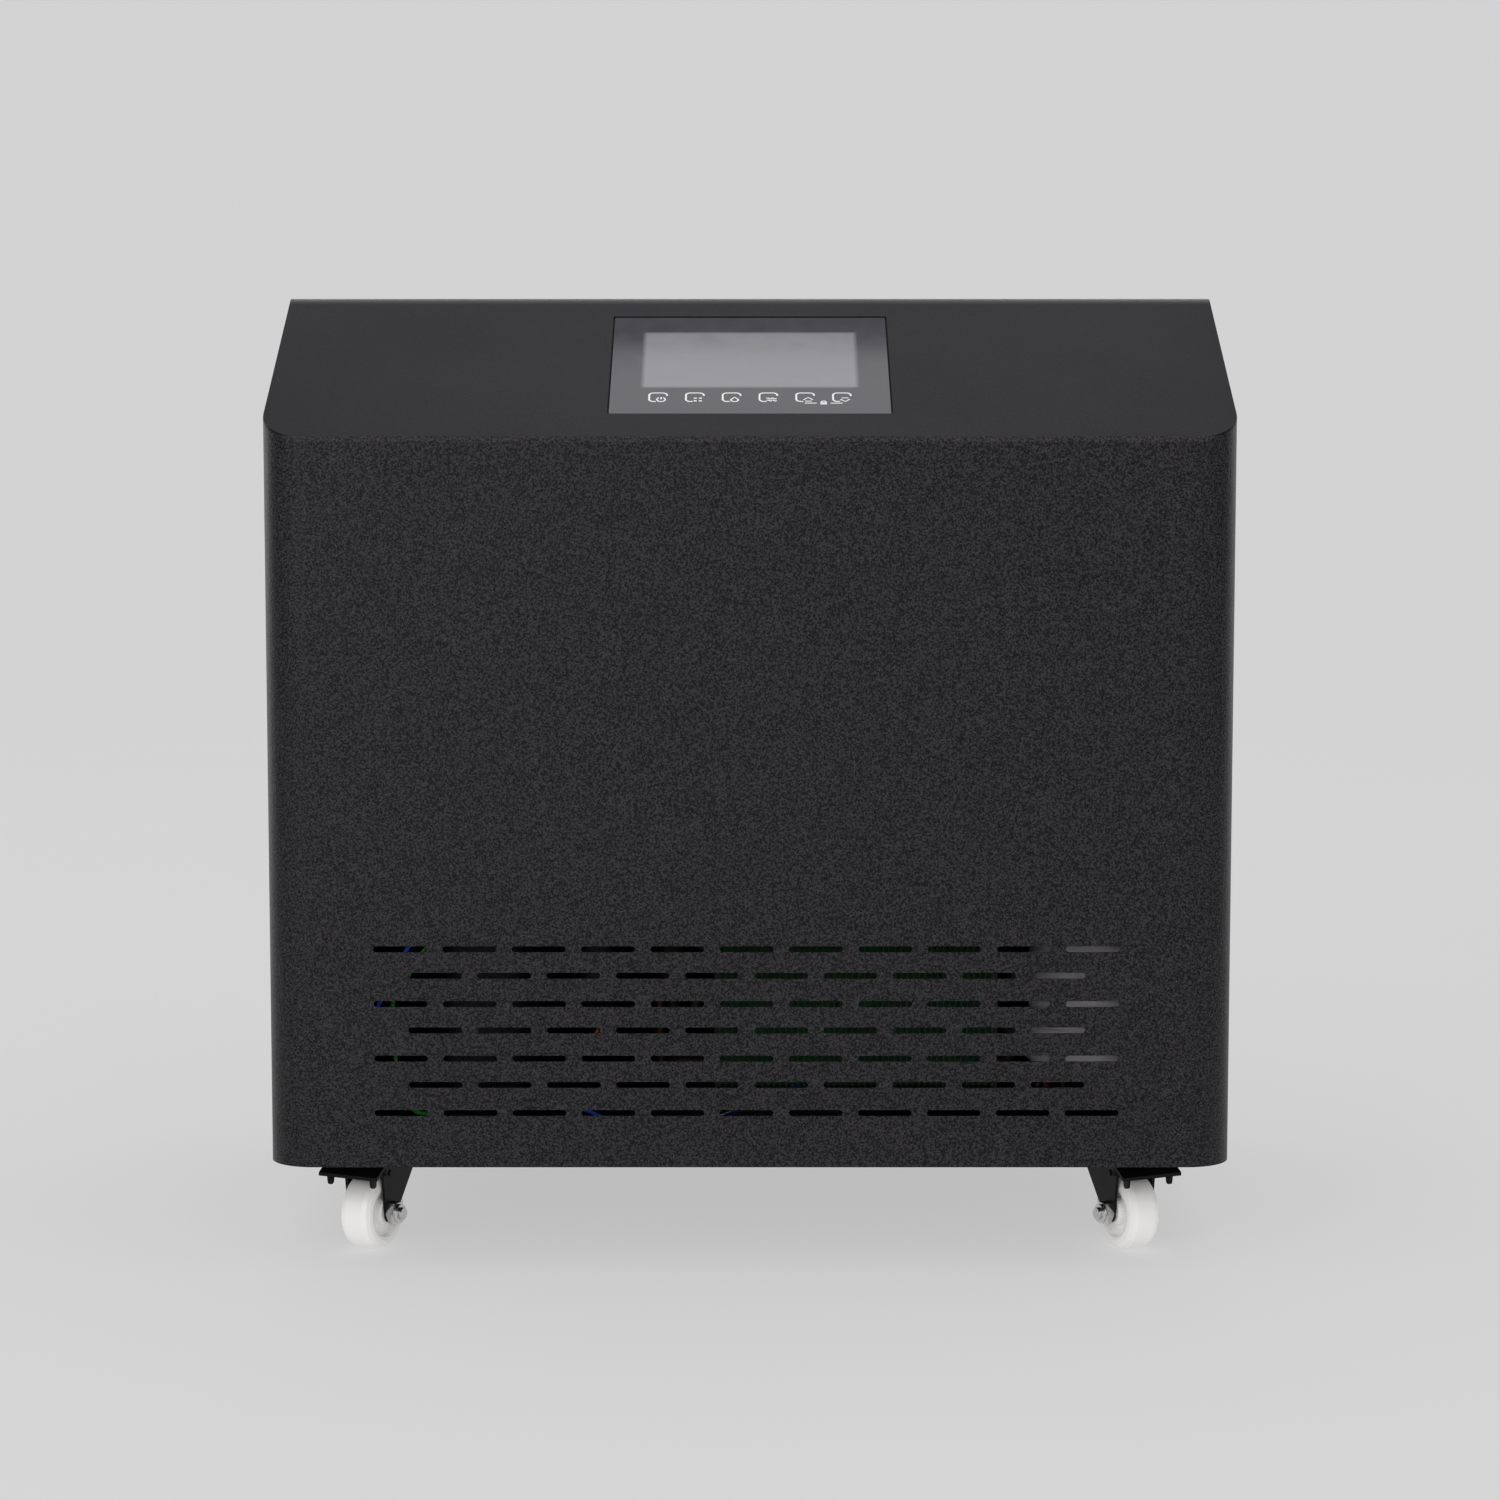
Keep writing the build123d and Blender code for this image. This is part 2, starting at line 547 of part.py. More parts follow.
ACCUMULATOR_BOTTOM, ACCUMULATOR_TOP = 72.0, 202.0
with BuildPart() as accumulator:
    with BuildSketch(level(ACCUMULATOR_BOTTOM)):
        with Locations(ACCUMULATOR):
            Circle(ACCUMULATOR_R)
    extrude(amount=ACCUMULATOR_TOP - ACCUMULATOR_BOTTOM)
    fillet(accumulator.edges().filter_by(GeomType.CIRCLE), 14)
save(accumulator, "accumulator")

# ---- heat exchanger ------------------------------------------------------------------------
CAP_R, CAP_H, CAP_END, SHELL_WALL = 58.0, 26.0, 8.0, 5.0
EXCHANGER_TOP = EXCHANGER_Z + EXCHANGER_H
LOWER_PORT_Z = 165.0
STUB_END = EXCHANGER[1] + EXCHANGER_R + 24
with BuildPart() as exchanger_shell:
    with BuildSketch(level(EXCHANGER_Z + CAP_END)):
        with Locations(EXCHANGER):
            Circle(EXCHANGER_R)
    extrude(amount=EXCHANGER_H - 2 * CAP_END)
    with BuildSketch(upright(EXCHANGER[1])):
        with Locations((EXCHANGER[0], LOWER_PORT_Z), WATER_OUT):
            Circle(STUB_R)
    extrude(amount=-(STUB_END - EXCHANGER[1]))
    with BuildSketch(upright(EXCHANGER[1])):
        with Locations((EXCHANGER[0], LOWER_PORT_Z), WATER_OUT):
            Circle(STUB_R - 3)
    extrude(amount=-(STUB_END - EXCHANGER[1]), mode=Mode.SUBTRACT)
    with BuildSketch(level(EXCHANGER_Z + CAP_END)):
        with Locations(EXCHANGER):
            Circle(EXCHANGER_R - SHELL_WALL)
    extrude(amount=EXCHANGER_H - 2 * CAP_END, mode=Mode.SUBTRACT)
save(exchanger_shell, "exchanger_shell")

COIL_PORTS = [(228.0, 95.0), (199.0, 75.0)]
with BuildPart() as exchanger_caps:
    with BuildSketch(level(EXCHANGER_Z), level(EXCHANGER_TOP - CAP_H)):
        with Locations(EXCHANGER):
            Circle(CAP_R)
    extrude(amount=CAP_H)
    fillet(exchanger_caps.faces().sort_by(Axis.Z)[0].edges(), 3)
    fillet(exchanger_caps.faces().sort_by(Axis.Z)[-1].edges(), 3)
    with BuildSketch(level(EXCHANGER_Z + CAP_END), level(EXCHANGER_TOP - CAP_H)):
        with Locations(EXCHANGER):
            Circle(EXCHANGER_R + RUNNING_GAP)
    extrude(amount=CAP_H - CAP_END, mode=Mode.SUBTRACT)
save(exchanger_caps, "exchanger_caps")

COIL_R, COIL_TUBE_R, COIL_TURNS, COIL_PITCH, COIL_START = 36.0, 5.0, 8, 26.0, 90.0
with BuildPart() as titanium_coil:
    for turn_number in range(COIL_TURNS):
        ring_z = COIL_START + COIL_PITCH * turn_number
        ring_plane = Plane(
            origin=inside(EXCHANGER[0] + COIL_R, EXCHANGER[1], ring_z), z_dir=(0, 1, 0)
        )
        with BuildSketch(ring_plane):
            Circle(COIL_TUBE_R)
        revolve(axis=Axis(inside(EXCHANGER[0], EXCHANGER[1], ring_z), (0, 0, 1)))
    with BuildSketch(level(COIL_START)):
        with Locations((EXCHANGER[0] - COIL_R, EXCHANGER[1])):
            Circle(COIL_TUBE_R)
    extrude(amount=COIL_PITCH * (COIL_TURNS - 1))
save(titanium_coil, "titanium_coil")

STAND_W, STAND_D, STAND_THICK = 72.0, 84.0, 2.0
CLAMP_Z, CLAMP_H, CLAMP_TAB = 235.0, 16.0, 30.0
with BuildPart() as exchanger_supports:
    with BuildSketch(upright(EXCHANGER[1] - STAND_D / 2)):
        with Locations((EXCHANGER[0], (EXCHANGER_Z + PAN_FLOOR) / 2)):
            Rectangle(STAND_W, EXCHANGER_Z - PAN_FLOOR)
        with Locations((EXCHANGER[0], (EXCHANGER_Z - STAND_THICK + PAN_FLOOR) / 2)):
            channel_h = EXCHANGER_Z - STAND_THICK - PAN_FLOOR
            Rectangle(STAND_W - 2 * STAND_THICK, channel_h, mode=Mode.SUBTRACT)
    extrude(amount=-STAND_D)
    with BuildSketch(level(CLAMP_Z)):
        with Locations(EXCHANGER):
            Circle(EXCHANGER_R + STAND_THICK)
        tab_end = WIDTH / 2 - SHEET - 0.2
        tab_start = EXCHANGER[0] + EXCHANGER_R
        with Locations(((tab_start + tab_end) / 2, EXCHANGER[1])):
            Rectangle(tab_end - tab_start, CLAMP_TAB)
        with Locations(EXCHANGER):
            Circle(EXCHANGER_R + 0.1, mode=Mode.SUBTRACT)
    extrude(amount=CLAMP_H)
save(exchanger_supports, "exchanger_supports")

# ---- circulation pump ----------------------------------------------------------------------
PUMP_MOTOR_Y, VOLUTE_Y, VOLUTE_END = 235.0, 330.0, 364.0
PUMP_MOTOR_R, VOLUTE_R, CAVITY_R = 42.0, 46.0, 36.0
PUMP_STUB_END = 384.0
PUMP_OUTLET_Y = 347.0
PUMP_OUTLET_Z = PUMP_Z + VOLUTE_R + 22
PUMP_FOOT_W, PUMP_FOOT_D, PUMP_SHAFT_DEPTH = 76.0, 60.0, 25.0
VOLUTE_BACK, VOLUTE_FACE, STUB_WALL = 4.0, 5.0, 3.0
with BuildPart() as pump_motor:
    with BuildSketch(upright(PUMP_MOTOR_Y)):
        with Locations(WATER_IN):
            Circle(PUMP_MOTOR_R)
    extrude(amount=-(VOLUTE_Y - PUMP_MOTOR_Y))
    fillet(pump_motor.edges().group_by(Axis.Y)[0], 6)
    with BuildSketch(level(PAN_FLOOR)):
        with Locations((PUMP_X, (PUMP_MOTOR_Y + VOLUTE_Y) / 2)):
            Rectangle(PUMP_FOOT_W, PUMP_FOOT_D)
    extrude(amount=PUMP_Z - PAN_FLOOR)
    with BuildSketch(upright(VOLUTE_Y - PUMP_SHAFT_DEPTH)):
        with Locations(WATER_IN):
            Circle(AXLE_R + RUNNING_GAP)
    extrude(amount=-PUMP_SHAFT_DEPTH, mode=Mode.SUBTRACT)
save(pump_motor, "pump_motor")

with BuildPart() as pump_volute:
    with BuildSketch(upright(VOLUTE_Y)):
        with Locations(WATER_IN):
            Circle(VOLUTE_R)
    extrude(amount=-(VOLUTE_END - VOLUTE_Y))
    fillet(pump_volute.edges().group_by(Axis.Y)[-1], 5)
    with BuildSketch(upright(VOLUTE_END)):
        with Locations(WATER_IN):
            Circle(STUB_R)
    extrude(amount=-(PUMP_STUB_END - VOLUTE_END))
    with BuildSketch(level(PUMP_Z)):
        with Locations((PUMP_X, PUMP_OUTLET_Y)):
            Circle(STUB_R)
    extrude(amount=PUMP_OUTLET_Z - PUMP_Z)
    with BuildSketch(upright(VOLUTE_Y + VOLUTE_BACK)):
        with Locations(WATER_IN):
            Circle(CAVITY_R)
    extrude(amount=-(VOLUTE_END - VOLUTE_Y - VOLUTE_BACK - VOLUTE_FACE), mode=Mode.SUBTRACT)
    with BuildSketch(upright(VOLUTE_Y)):
        with Locations(WATER_IN):
            Circle(AXLE_R + RUNNING_GAP)
    extrude(amount=-5, mode=Mode.SUBTRACT)
    with BuildSketch(upright(VOLUTE_Y + 10)):
        with Locations(WATER_IN):
            Circle(STUB_R - STUB_WALL)
    extrude(amount=-(PUMP_STUB_END - VOLUTE_Y), mode=Mode.SUBTRACT)
    with BuildSketch(level(PUMP_Z)):
        with Locations((PUMP_X, PUMP_OUTLET_Y)):
            Circle(STUB_R - STUB_WALL)
    extrude(amount=PUMP_OUTLET_Z - PUMP_Z, mode=Mode.SUBTRACT)
save(pump_volute, "pump_volute")

IMPELLER_R, IMPELLER_Y, IMPELLER_DISC, VANE_H = 30.0, VOLUTE_Y + 7, 3.0, 9.0
with BuildPart() as pump_impeller:
    with BuildSketch(upright(IMPELLER_Y)):
        with Locations(WATER_IN):
            Circle(IMPELLER_R)
    extrude(amount=-IMPELLER_DISC)
    with BuildSketch(upright(IMPELLER_Y + IMPELLER_DISC)):
        with Locations(WATER_IN):
            with PolarLocations(19, 6):
                Rectangle(18, 2.4, rotation=24)
    extrude(amount=-VANE_H)
    with BuildSketch(upright(VOLUTE_Y - 22)):
        with Locations(WATER_IN):
            Circle(AXLE_R)
    extrude(amount=-(IMPELLER_Y + IMPELLER_DISC - VOLUTE_Y + 22))
save(pump_impeller, "pump_impeller")

# ---- water hoses and rear spigots ----------------------------------------------------------
TAIL_START, TAIL_LENGTH = 402.0, 26.0
HOSE_END = TAIL_START + TAIL_LENGTH - 2
FLANGE_R, THREAD_R = 22.0, 16.5
SHELL_FACE_Y = EXCHANGER[1] + EXCHANGER_R + 3
save_tubes(
    "water_hoses",
    2 * HOSE_R,
    HOSE_BEND,
    [(PUMP_X, VOLUTE_END + 2, PUMP_Z), (PUMP_X, HOSE_END, PUMP_Z)],
    [
        (PUMP_X, PUMP_OUTLET_Y, PUMP_Z + VOLUTE_R + 2),
        (PUMP_X, PUMP_OUTLET_Y, LOWER_PORT_Z),
        (EXCHANGER[0], PUMP_OUTLET_Y, LOWER_PORT_Z),
        (EXCHANGER[0], SHELL_FACE_Y, LOWER_PORT_Z),
    ],
    [(EXCHANGER[0], SHELL_FACE_Y, WATER_OUT[1]), (EXCHANGER[0], HOSE_END, WATER_OUT[1])],
    bore=2 * HOSE_BORE_R,
)

SPIGOT_STEPS = [
    (TAIL_START, TAIL_START + TAIL_LENGTH, STUB_R),
    (TAIL_START + TAIL_LENGTH, BODY_DEPTH, FLANGE_R - 2),
    (BODY_DEPTH, DEPTH, THREAD_R),
    (DEPTH, DEPTH + 5, FLANGE_R),
    (DEPTH + 5, DEPTH + SPIGOT_REACH, SPIGOT_R),
]
with BuildPart() as water_spigots:
    for start_y, end_y, step_r in SPIGOT_STEPS:
        with BuildSketch(upright(start_y)):
            with Locations(WATER_IN, WATER_OUT):
                Circle(step_r)
        extrude(amount=-(end_y - start_y))
    with BuildSketch(upright(TAIL_START)):
        with Locations(WATER_IN, WATER_OUT):
            Circle(SPIGOT_BORE_R)
    extrude(amount=-(DEPTH + SPIGOT_REACH - TAIL_START), mode=Mode.SUBTRACT)
save(water_spigots, "water_spigots")

# ---- refrigerant circuit -------------------------------------------------------------------
DISCHARGE_Z = row_height(TUBE_ROWS - 1)
LINE_BEND = 16.0
DRIER = (-52.0, 130.0)
DRIER_BOTTOM, DRIER_TOP, DRIER_R = 96.0, 186.0, 13.0
RISER_X = -62.0             # discharge and suction lines rise beside the fan shroud
EXPANSION_D, EXPANSION_Z = 6.0, 378.0
SUCTION_LOW_Z, SUCTION_HIGH_Z = 26.0, 236.0
SUCTION_PORT = (-135.4, 170.5, 48.0)
LIQUID_BEND, SUCTION_BEND = 12.0, 14.0
DISCHARGE_X = COMPRESSOR[0] + 16
save_tubes(
    "discharge_line",
    LINE_D,
    LINE_BEND,
    [
        (DISCHARGE_X, COMPRESSOR[1], SHELL_TOP),
        (DISCHARGE_X, COMPRESSOR[1], DISCHARGE_Z),
        (RISER_X, COMPRESSOR[1], DISCHARGE_Z),
        (RISER_X, TUBE_Y, DISCHARGE_Z),
        (END_LEFT, TUBE_Y, DISCHARGE_Z),
    ],
)
save_tubes(
    "liquid_line",
    LINE_D,
    LIQUID_BEND,
    [
        (END_LEFT, TUBE_Y, TUBE_FIRST_ROW),
        (DRIER[0], TUBE_Y, TUBE_FIRST_ROW),
        (DRIER[0], DRIER[1], TUBE_FIRST_ROW),
        (DRIER[0], DRIER[1], DRIER_BOTTOM),
    ],
)
save_tubes(
    "expansion_line",
    EXPANSION_D,
    LIQUID_BEND,
    [
        (DRIER[0], DRIER[1], DRIER_TOP),
        (DRIER[0], DRIER[1], EXPANSION_Z),
        (COIL_PORTS[0][0], DRIER[1], EXPANSION_Z),
        (COIL_PORTS[0][0], COIL_PORTS[0][1], EXPANSION_Z),
        (COIL_PORTS[0][0], COIL_PORTS[0][1], EXCHANGER_TOP),
    ],
)
save_tubes(
    "suction_line",
    SUCTION_D,
    SUCTION_BEND,
    [
        (COIL_PORTS[1][0], COIL_PORTS[1][1], EXCHANGER_Z),
        (COIL_PORTS[1][0], COIL_PORTS[1][1], SUCTION_LOW_Z),
        (COIL_PORTS[1][0], ACCUMULATOR[1], SUCTION_LOW_Z),
        (RISER_X, ACCUMULATOR[1], SUCTION_LOW_Z),
        (RISER_X, ACCUMULATOR[1], SUCTION_HIGH_Z),
        (ACCUMULATOR[0], ACCUMULATOR[1], SUCTION_HIGH_Z),
        (ACCUMULATOR[0], ACCUMULATOR[1], ACCUMULATOR_TOP),
    ],
    [
        (ACCUMULATOR[0], ACCUMULATOR[1], ACCUMULATOR_BOTTOM),
        (ACCUMULATOR[0], ACCUMULATOR[1], SUCTION_PORT[2]),
        SUCTION_PORT,
    ],
)
with BuildPart() as filter_drier:
    with BuildSketch(level(DRIER_BOTTOM)):
        with Locations(DRIER):
            Circle(DRIER_R)
    extrude(amount=DRIER_TOP - DRIER_BOTTOM)
    fillet(filter_drier.edges().filter_by(GeomType.CIRCLE), 9)
save(filter_drier, "filter_drier")

# ---- electrics -----------------------------------------------------------------------------
BOX_X, BOX_Y, BOX_Z = -190.0, 30.0, 300.0
BOX_W, BOX_D, BOX_H, BOX_WALL = 180.0, 65.0, 140.0, 2.0
CONTROL_BOARD_Y = BOX_Y + 45.0
CONTROL_BOARD_MARGIN = 8.0
COMPONENT_HEIGHT = 18.0
with BuildPart() as control_box:
    with BuildSketch(upright(BOX_Y)):
        with Locations((BOX_X, BOX_Z + BOX_H / 2)):
            RectangleRounded(BOX_W, BOX_H, 4)
    extrude(amount=-BOX_D)
    with BuildSketch(upright(BOX_Y)):
        with Locations((BOX_X, BOX_Z + BOX_H / 2)):
            RectangleRounded(BOX_W - 2 * BOX_WALL, BOX_H - 2 * BOX_WALL, 2)
    extrude(amount=-BOX_D + BOX_WALL, mode=Mode.SUBTRACT)
save(control_box, "control_box")

with BuildPart() as control_board:
    with BuildSketch(upright(CONTROL_BOARD_Y)):
        with Locations((BOX_X, BOX_Z + BOX_H / 2)):
            Rectangle(BOX_W - 2 * CONTROL_BOARD_MARGIN, BOX_H - 2 * CONTROL_BOARD_MARGIN)
    extrude(amount=-BOARD_THICK)
    with BuildSketch(upright(CONTROL_BOARD_Y)):
        for part_x, part_z, part_w, part_h in (
            (-50, 30, 30, 24),
            (0, 34, 26, 20),
            (48, 20, 34, 30),
            (-30, -28, 44, 18),
            (40, -34, 60, 12),
        ):
            with Locations((BOX_X + part_x, BOX_Z + BOX_H / 2 + part_z)):
                Rectangle(part_w, part_h)
    extrude(amount=COMPONENT_HEIGHT)
save(control_board, "control_board")

INLET_START = 412.0          # inner end of the power inlet's body
WIRE_D, LEAD_D = 3.0, 6.0
WIRE_BEND, LEAD_BEND = 9.0, 10.0
MAINS_LEAD_Z = 380.0
TRAY_LEAD = (-70.0, 88.0, 477.0)
TRAY_LEAD_LOW_Z = 458.0
TRAY_LEAD_DROP = (-120.0, 66.0)
save_tubes(
    "blue_wire",
    WIRE_D,
    WIRE_BEND,
    [
        (-236, 40, BOX_Z),
        (-236, 40, 255),
        (-222, 32, 205),
        (-212, 28, 165),
        (-254, 28, 84),
        (-252, 28, 52),
        (-236, 28, 38),
        (-122, 31, 38),
        (-84, 34, 20),
        (-44, 60, 12),
        (24, 190, 12),
        (PUMP_X - 20, PUMP_MOTOR_Y - 26, 48),
        (PUMP_X - 20, PUMP_MOTOR_Y, 48),
    ],
)
save_tubes(
    "earth_wire",
    WIRE_D,
    WIRE_BEND,
    [
        (-216, 44, BOX_Z),
        (-216, 44, 240),
        (-198, 38, 165),
        (-236, 38, 103),
        (-234, 36, 62),
        (-223, 33, 30),
        (-208, 33, 28.5),
        (-196, 38, 16),
        (-178, 44, 16),
        (-178, 44, PAN_FLOOR),
    ],
)
save_tubes(
    "internal_leads",
    LEAD_D,
    LEAD_BEND,
    [
        (POWER[0], INLET_START - 1, POWER[1]),
        (POWER[0], INLET_START - 40, POWER[1]),
        (POWER[0], INLET_START - 40, MAINS_LEAD_Z),
        (POWER[0], BOX_Y + BOX_D, MAINS_LEAD_Z),
    ],
    [
        TRAY_LEAD,
        (TRAY_LEAD[0], TRAY_LEAD[1], TRAY_LEAD_LOW_Z),
        (*TRAY_LEAD_DROP, TRAY_LEAD_LOW_Z),
        (*TRAY_LEAD_DROP, BOX_Z + BOX_H),
    ],
)

# Power inlet: flanged socket with three contact blades
INLET_FLANGE_W, INLET_FLANGE_H = 50.0, 24.0
SOCKET_W, SOCKET_H, SOCKET_DEPTH = 24.4, 17.0, 17.0
INLET_FACE = DEPTH + 3
with BuildPart() as power_inlet:
    with BuildSketch(upright(DEPTH)):
        with Locations(POWER):
            RectangleRounded(INLET_FLANGE_W, INLET_FLANGE_H, 4)
    extrude(amount=-(INLET_FACE - DEPTH))
    with BuildSketch(upright(INLET_START)):
        with Locations(POWER):
            Rectangle(INLET_W - 0.2, INLET_H - 0.2)
    extrude(amount=-(INLET_FACE - INLET_START))
    with BuildSketch(upright(INLET_FACE)):
        with Locations(POWER):
            RectangleRounded(SOCKET_W, SOCKET_H, 3)
    extrude(amount=SOCKET_DEPTH, mode=Mode.SUBTRACT)
    with BuildSketch(upright(INLET_FACE - SOCKET_DEPTH)):
        with Locations(POWER):
            with Locations((-7, -1.5), (0, 2.5), (7, -1.5)):
                Rectangle(2, 4)
    extrude(amount=-(SOCKET_DEPTH - 5.5))
save(power_inlet, "power_inlet")

# Mains switch: frame and rocker, the rocker on two stub pins
ROCKER_PIVOT_Y = DEPTH - 1.0
ROCKER_TILT = 9.0
CAVITY_W, CAVITY_H = 9.6, 16.6
with BuildPart() as switch_frame:
    with BuildSketch(upright(DEPTH)):
        with Locations(ROCKER):
            RectangleRounded(ROCKER_W + 2.6, ROCKER_H + 2.6, 1.5)
    extrude(amount=-1.8)
    with BuildSketch(upright(DEPTH - 20)):
        with Locations(ROCKER):
            Rectangle(ROCKER_W - 0.2, ROCKER_H - 0.2)
    extrude(amount=-20)
    with BuildSketch(upright(DEPTH - 10)):
        with Locations(ROCKER):
            Rectangle(CAVITY_W, CAVITY_H)
    extrude(amount=-12, mode=Mode.SUBTRACT)
    with BuildSketch(Plane(origin=inside(ROCKER[0], ROCKER_PIVOT_Y, ROCKER[1]), z_dir=(1, 0, 0))):
        Circle(1.3)
    extrude(amount=5.6, both=True, mode=Mode.SUBTRACT)
save(switch_frame, "switch_frame")

ROCKER_PLANE = Plane(
    origin=inside(ROCKER[0], ROCKER_PIVOT_Y, ROCKER[1]),
    x_dir=(0, math.cos(math.radians(ROCKER_TILT)), math.sin(math.radians(ROCKER_TILT))),
    z_dir=(1, 0, 0),
)
with BuildPart() as switch_rocker:
    with BuildSketch(ROCKER_PLANE):
        with BuildLine():
            Polyline((-3, -6), (3.4, -7.2), (2.2, 0), (3.4, 7.2), (-3, 6), close=True)
        make_face()
    extrude(amount=CAVITY_W / 2 - 0.3, both=True)
    with BuildSketch(ROCKER_PLANE):
        Circle(1.25)
    extrude(amount=5.4, both=True)
save(switch_rocker, "switch_rocker")

# ---- castors -------------------------------------------------------------------------------
RACE_GAP = 0.3
CUP_R, CUP_BOTTOM = 19.0, CROWN_TOP + RACE_GAP
KINGPIN_HEAD_R, KINGPIN_HEAD = 8.0, 2.0
PLATE_BOTTOM = CASE_Z - PLATE_THICK
with BuildPart() as castor_plates:
    for castor_x, castor_y, *_ in CASTORS.values():
        middle = (castor_x, FRONT_Y + castor_y)
        with BuildSketch(Plane.XY.offset(PLATE_BOTTOM)):
            with Locations(middle):
                RectangleRounded(PLATE_L, PLATE_W, 5)
                with GridLocations(PLATE_HOLES_L, PLATE_HOLES_W, 2, 2):
                    Circle(PLATE_HOLE_R, mode=Mode.SUBTRACT)
        extrude(amount=PLATE_THICK)
        with BuildSketch(Plane.XY.offset(CUP_BOTTOM)):
            with Locations(middle):
                Circle(CUP_R)
        extrude(amount=PLATE_BOTTOM - CUP_BOTTOM, taper=8)
        with BuildSketch(Plane.XY.offset(CROWN_TOP - FORK_SHEET - RACE_GAP - KINGPIN_HEAD)):
            with Locations(middle):
                Circle(KINGPIN_HEAD_R)
        extrude(amount=KINGPIN_HEAD)
        with BuildSketch(Plane.XY.offset(CROWN_TOP - FORK_SHEET - RACE_GAP)):
            with Locations(middle):
                Circle(KINGPIN_R)
        extrude(amount=FORK_SHEET + 2 * RACE_GAP)
save(castor_plates, "castor_plates")

# Hexagon bolts through the pan: four to a castor plate, and one to each compressor foot
GROMMET_TOP = FOOT_Z + FOOT_THICK + 4
BOLT_R, BOLT_HEAD_R, BOLT_HEAD = 3.0, 5.5, 4.0
with BuildPart() as base_bolts:
    with BuildSketch(level(-PLATE_THICK)):
        with Locations(*CASTOR_HOLES):
            RegularPolygon(BOLT_HEAD_R, 6)
    extrude(amount=-BOLT_HEAD)
    with BuildSketch(level(-PLATE_THICK)):
        with Locations(*CASTOR_HOLES):
            Circle(BOLT_R)
    extrude(amount=PLATE_THICK + PAN_FLOOR)
    with BuildSketch(level(PAN_FLOOR)):
        with Locations(*CASTOR_HOLES):
            RegularPolygon(BOLT_HEAD_R, 6)
    extrude(amount=BOLT_HEAD + 1)
    with BuildSketch(level(PAN_FLOOR)):
        with Locations(*FOOT_POINTS):
            Circle(BOLT_R)
    extrude(amount=GROMMET_TOP - PAN_FLOOR)
    with BuildSketch(level(GROMMET_TOP)):
        with Locations(*FOOT_POINTS):
            RegularPolygon(BOLT_HEAD_R, 6)
    extrude(amount=BOLT_HEAD)
save(base_bolts, "base_bolts")


def along_trail(place, lateral):
    """The castor's side plane, lateral from its middle; its axes are the trail and up."""
    castor_x, castor_y, heading, *_ = place
    trail = Vector(math.cos(math.radians(heading)), math.sin(math.radians(heading)), 0)
    across = trail.cross(Vector(0, 0, 1))
    origin = Vector(castor_x, FRONT_Y + castor_y, 0) + across * lateral
    return Plane(origin=origin, x_dir=trail, z_dir=across)


def save_fork(node, place):
    half_gap = FORK_GAP / 2
    with BuildPart() as fork:
        for side in (-1, 1):
            with BuildSketch(along_trail(place, side * half_gap)):
                with BuildLine():
                    Polyline(
                        (-9, CROWN_TOP),
                        (32, CROWN_TOP),
                        (32, 50),
                        (CASTOR_TRAIL + 7, WHEEL_R),
                        (CASTOR_TRAIL - 6.6, WHEEL_R - 1.5),
                        (-9, CROWN_TOP - 4),
                        close=True,
                    )
                make_face()
                with Locations((CASTOR_TRAIL, WHEEL_R)):
                    Circle(7)
                    Circle(AXLE_R + 0.1, mode=Mode.SUBTRACT)
            extrude(amount=side * FORK_SHEET)
        middle = along_trail(place, 0)
        crown = Plane(
            origin=middle.origin + Vector(0, 0, CROWN_TOP - FORK_SHEET),
            x_dir=middle.x_dir,
            z_dir=(0, 0, 1),
        )
        with BuildSketch(crown):
            Circle(18)
            with Locations((3, 0)):
                Rectangle(24, FORK_GAP + 2 * FORK_SHEET)
            Circle(KINGPIN_R + RUNNING_GAP, mode=Mode.SUBTRACT)
        extrude(amount=FORK_SHEET)
        if place[4]:
            with BuildSketch(along_trail(place, -half_gap - PEDAL_PIN_REACH)):
                with Locations(PEDAL_PIVOT):
                    Circle(PEDAL_PIN_R)
            extrude(amount=FORK_GAP + 2 * PEDAL_PIN_REACH)
    save(fork, node)


def save_wheel(node, place):
    """Nylon wheel: rounded tread, raised rim ring, dished side and hub."""
    middle = along_trail(place, 0)
    axle = middle.origin + middle.x_dir * CASTOR_TRAIL + Vector(0, 0, WHEEL_R)
    with BuildPart() as wheel:
        with BuildSketch(Plane(origin=axle, x_dir=(0, 0, 1), z_dir=middle.x_dir)):
            with BuildLine():
                half = WHEEL_W / 2
                Polyline(
                    (AXLE_R + RUNNING_GAP, -half),
                    (8.5, -half),
                    (9.5, -half + 4.5),
                    (16.0, -half + 4.0),
                    (17.0, -half + 0.3),
                    (19.0, -half),
                    (WHEEL_R - 3.5, -half + 0.8),
                    (WHEEL_R - 1.0, -half + 2.6),
                    (WHEEL_R, -half + 5.5),
                    (WHEEL_R, half - 5.5),
                    (WHEEL_R - 1.0, half - 2.6),
                    (WHEEL_R - 3.5, half - 0.8),
                    (19.0, half),
                    (17.0, half - 0.3),
                    (16.0, half - 4.0),
                    (9.5, half - 4.5),
                    (8.5, half),
                    (AXLE_R + RUNNING_GAP, half),
                    close=True,
                )
            make_face()
        revolve(axis=Axis(axle, middle.z_dir))
    save(wheel, node)


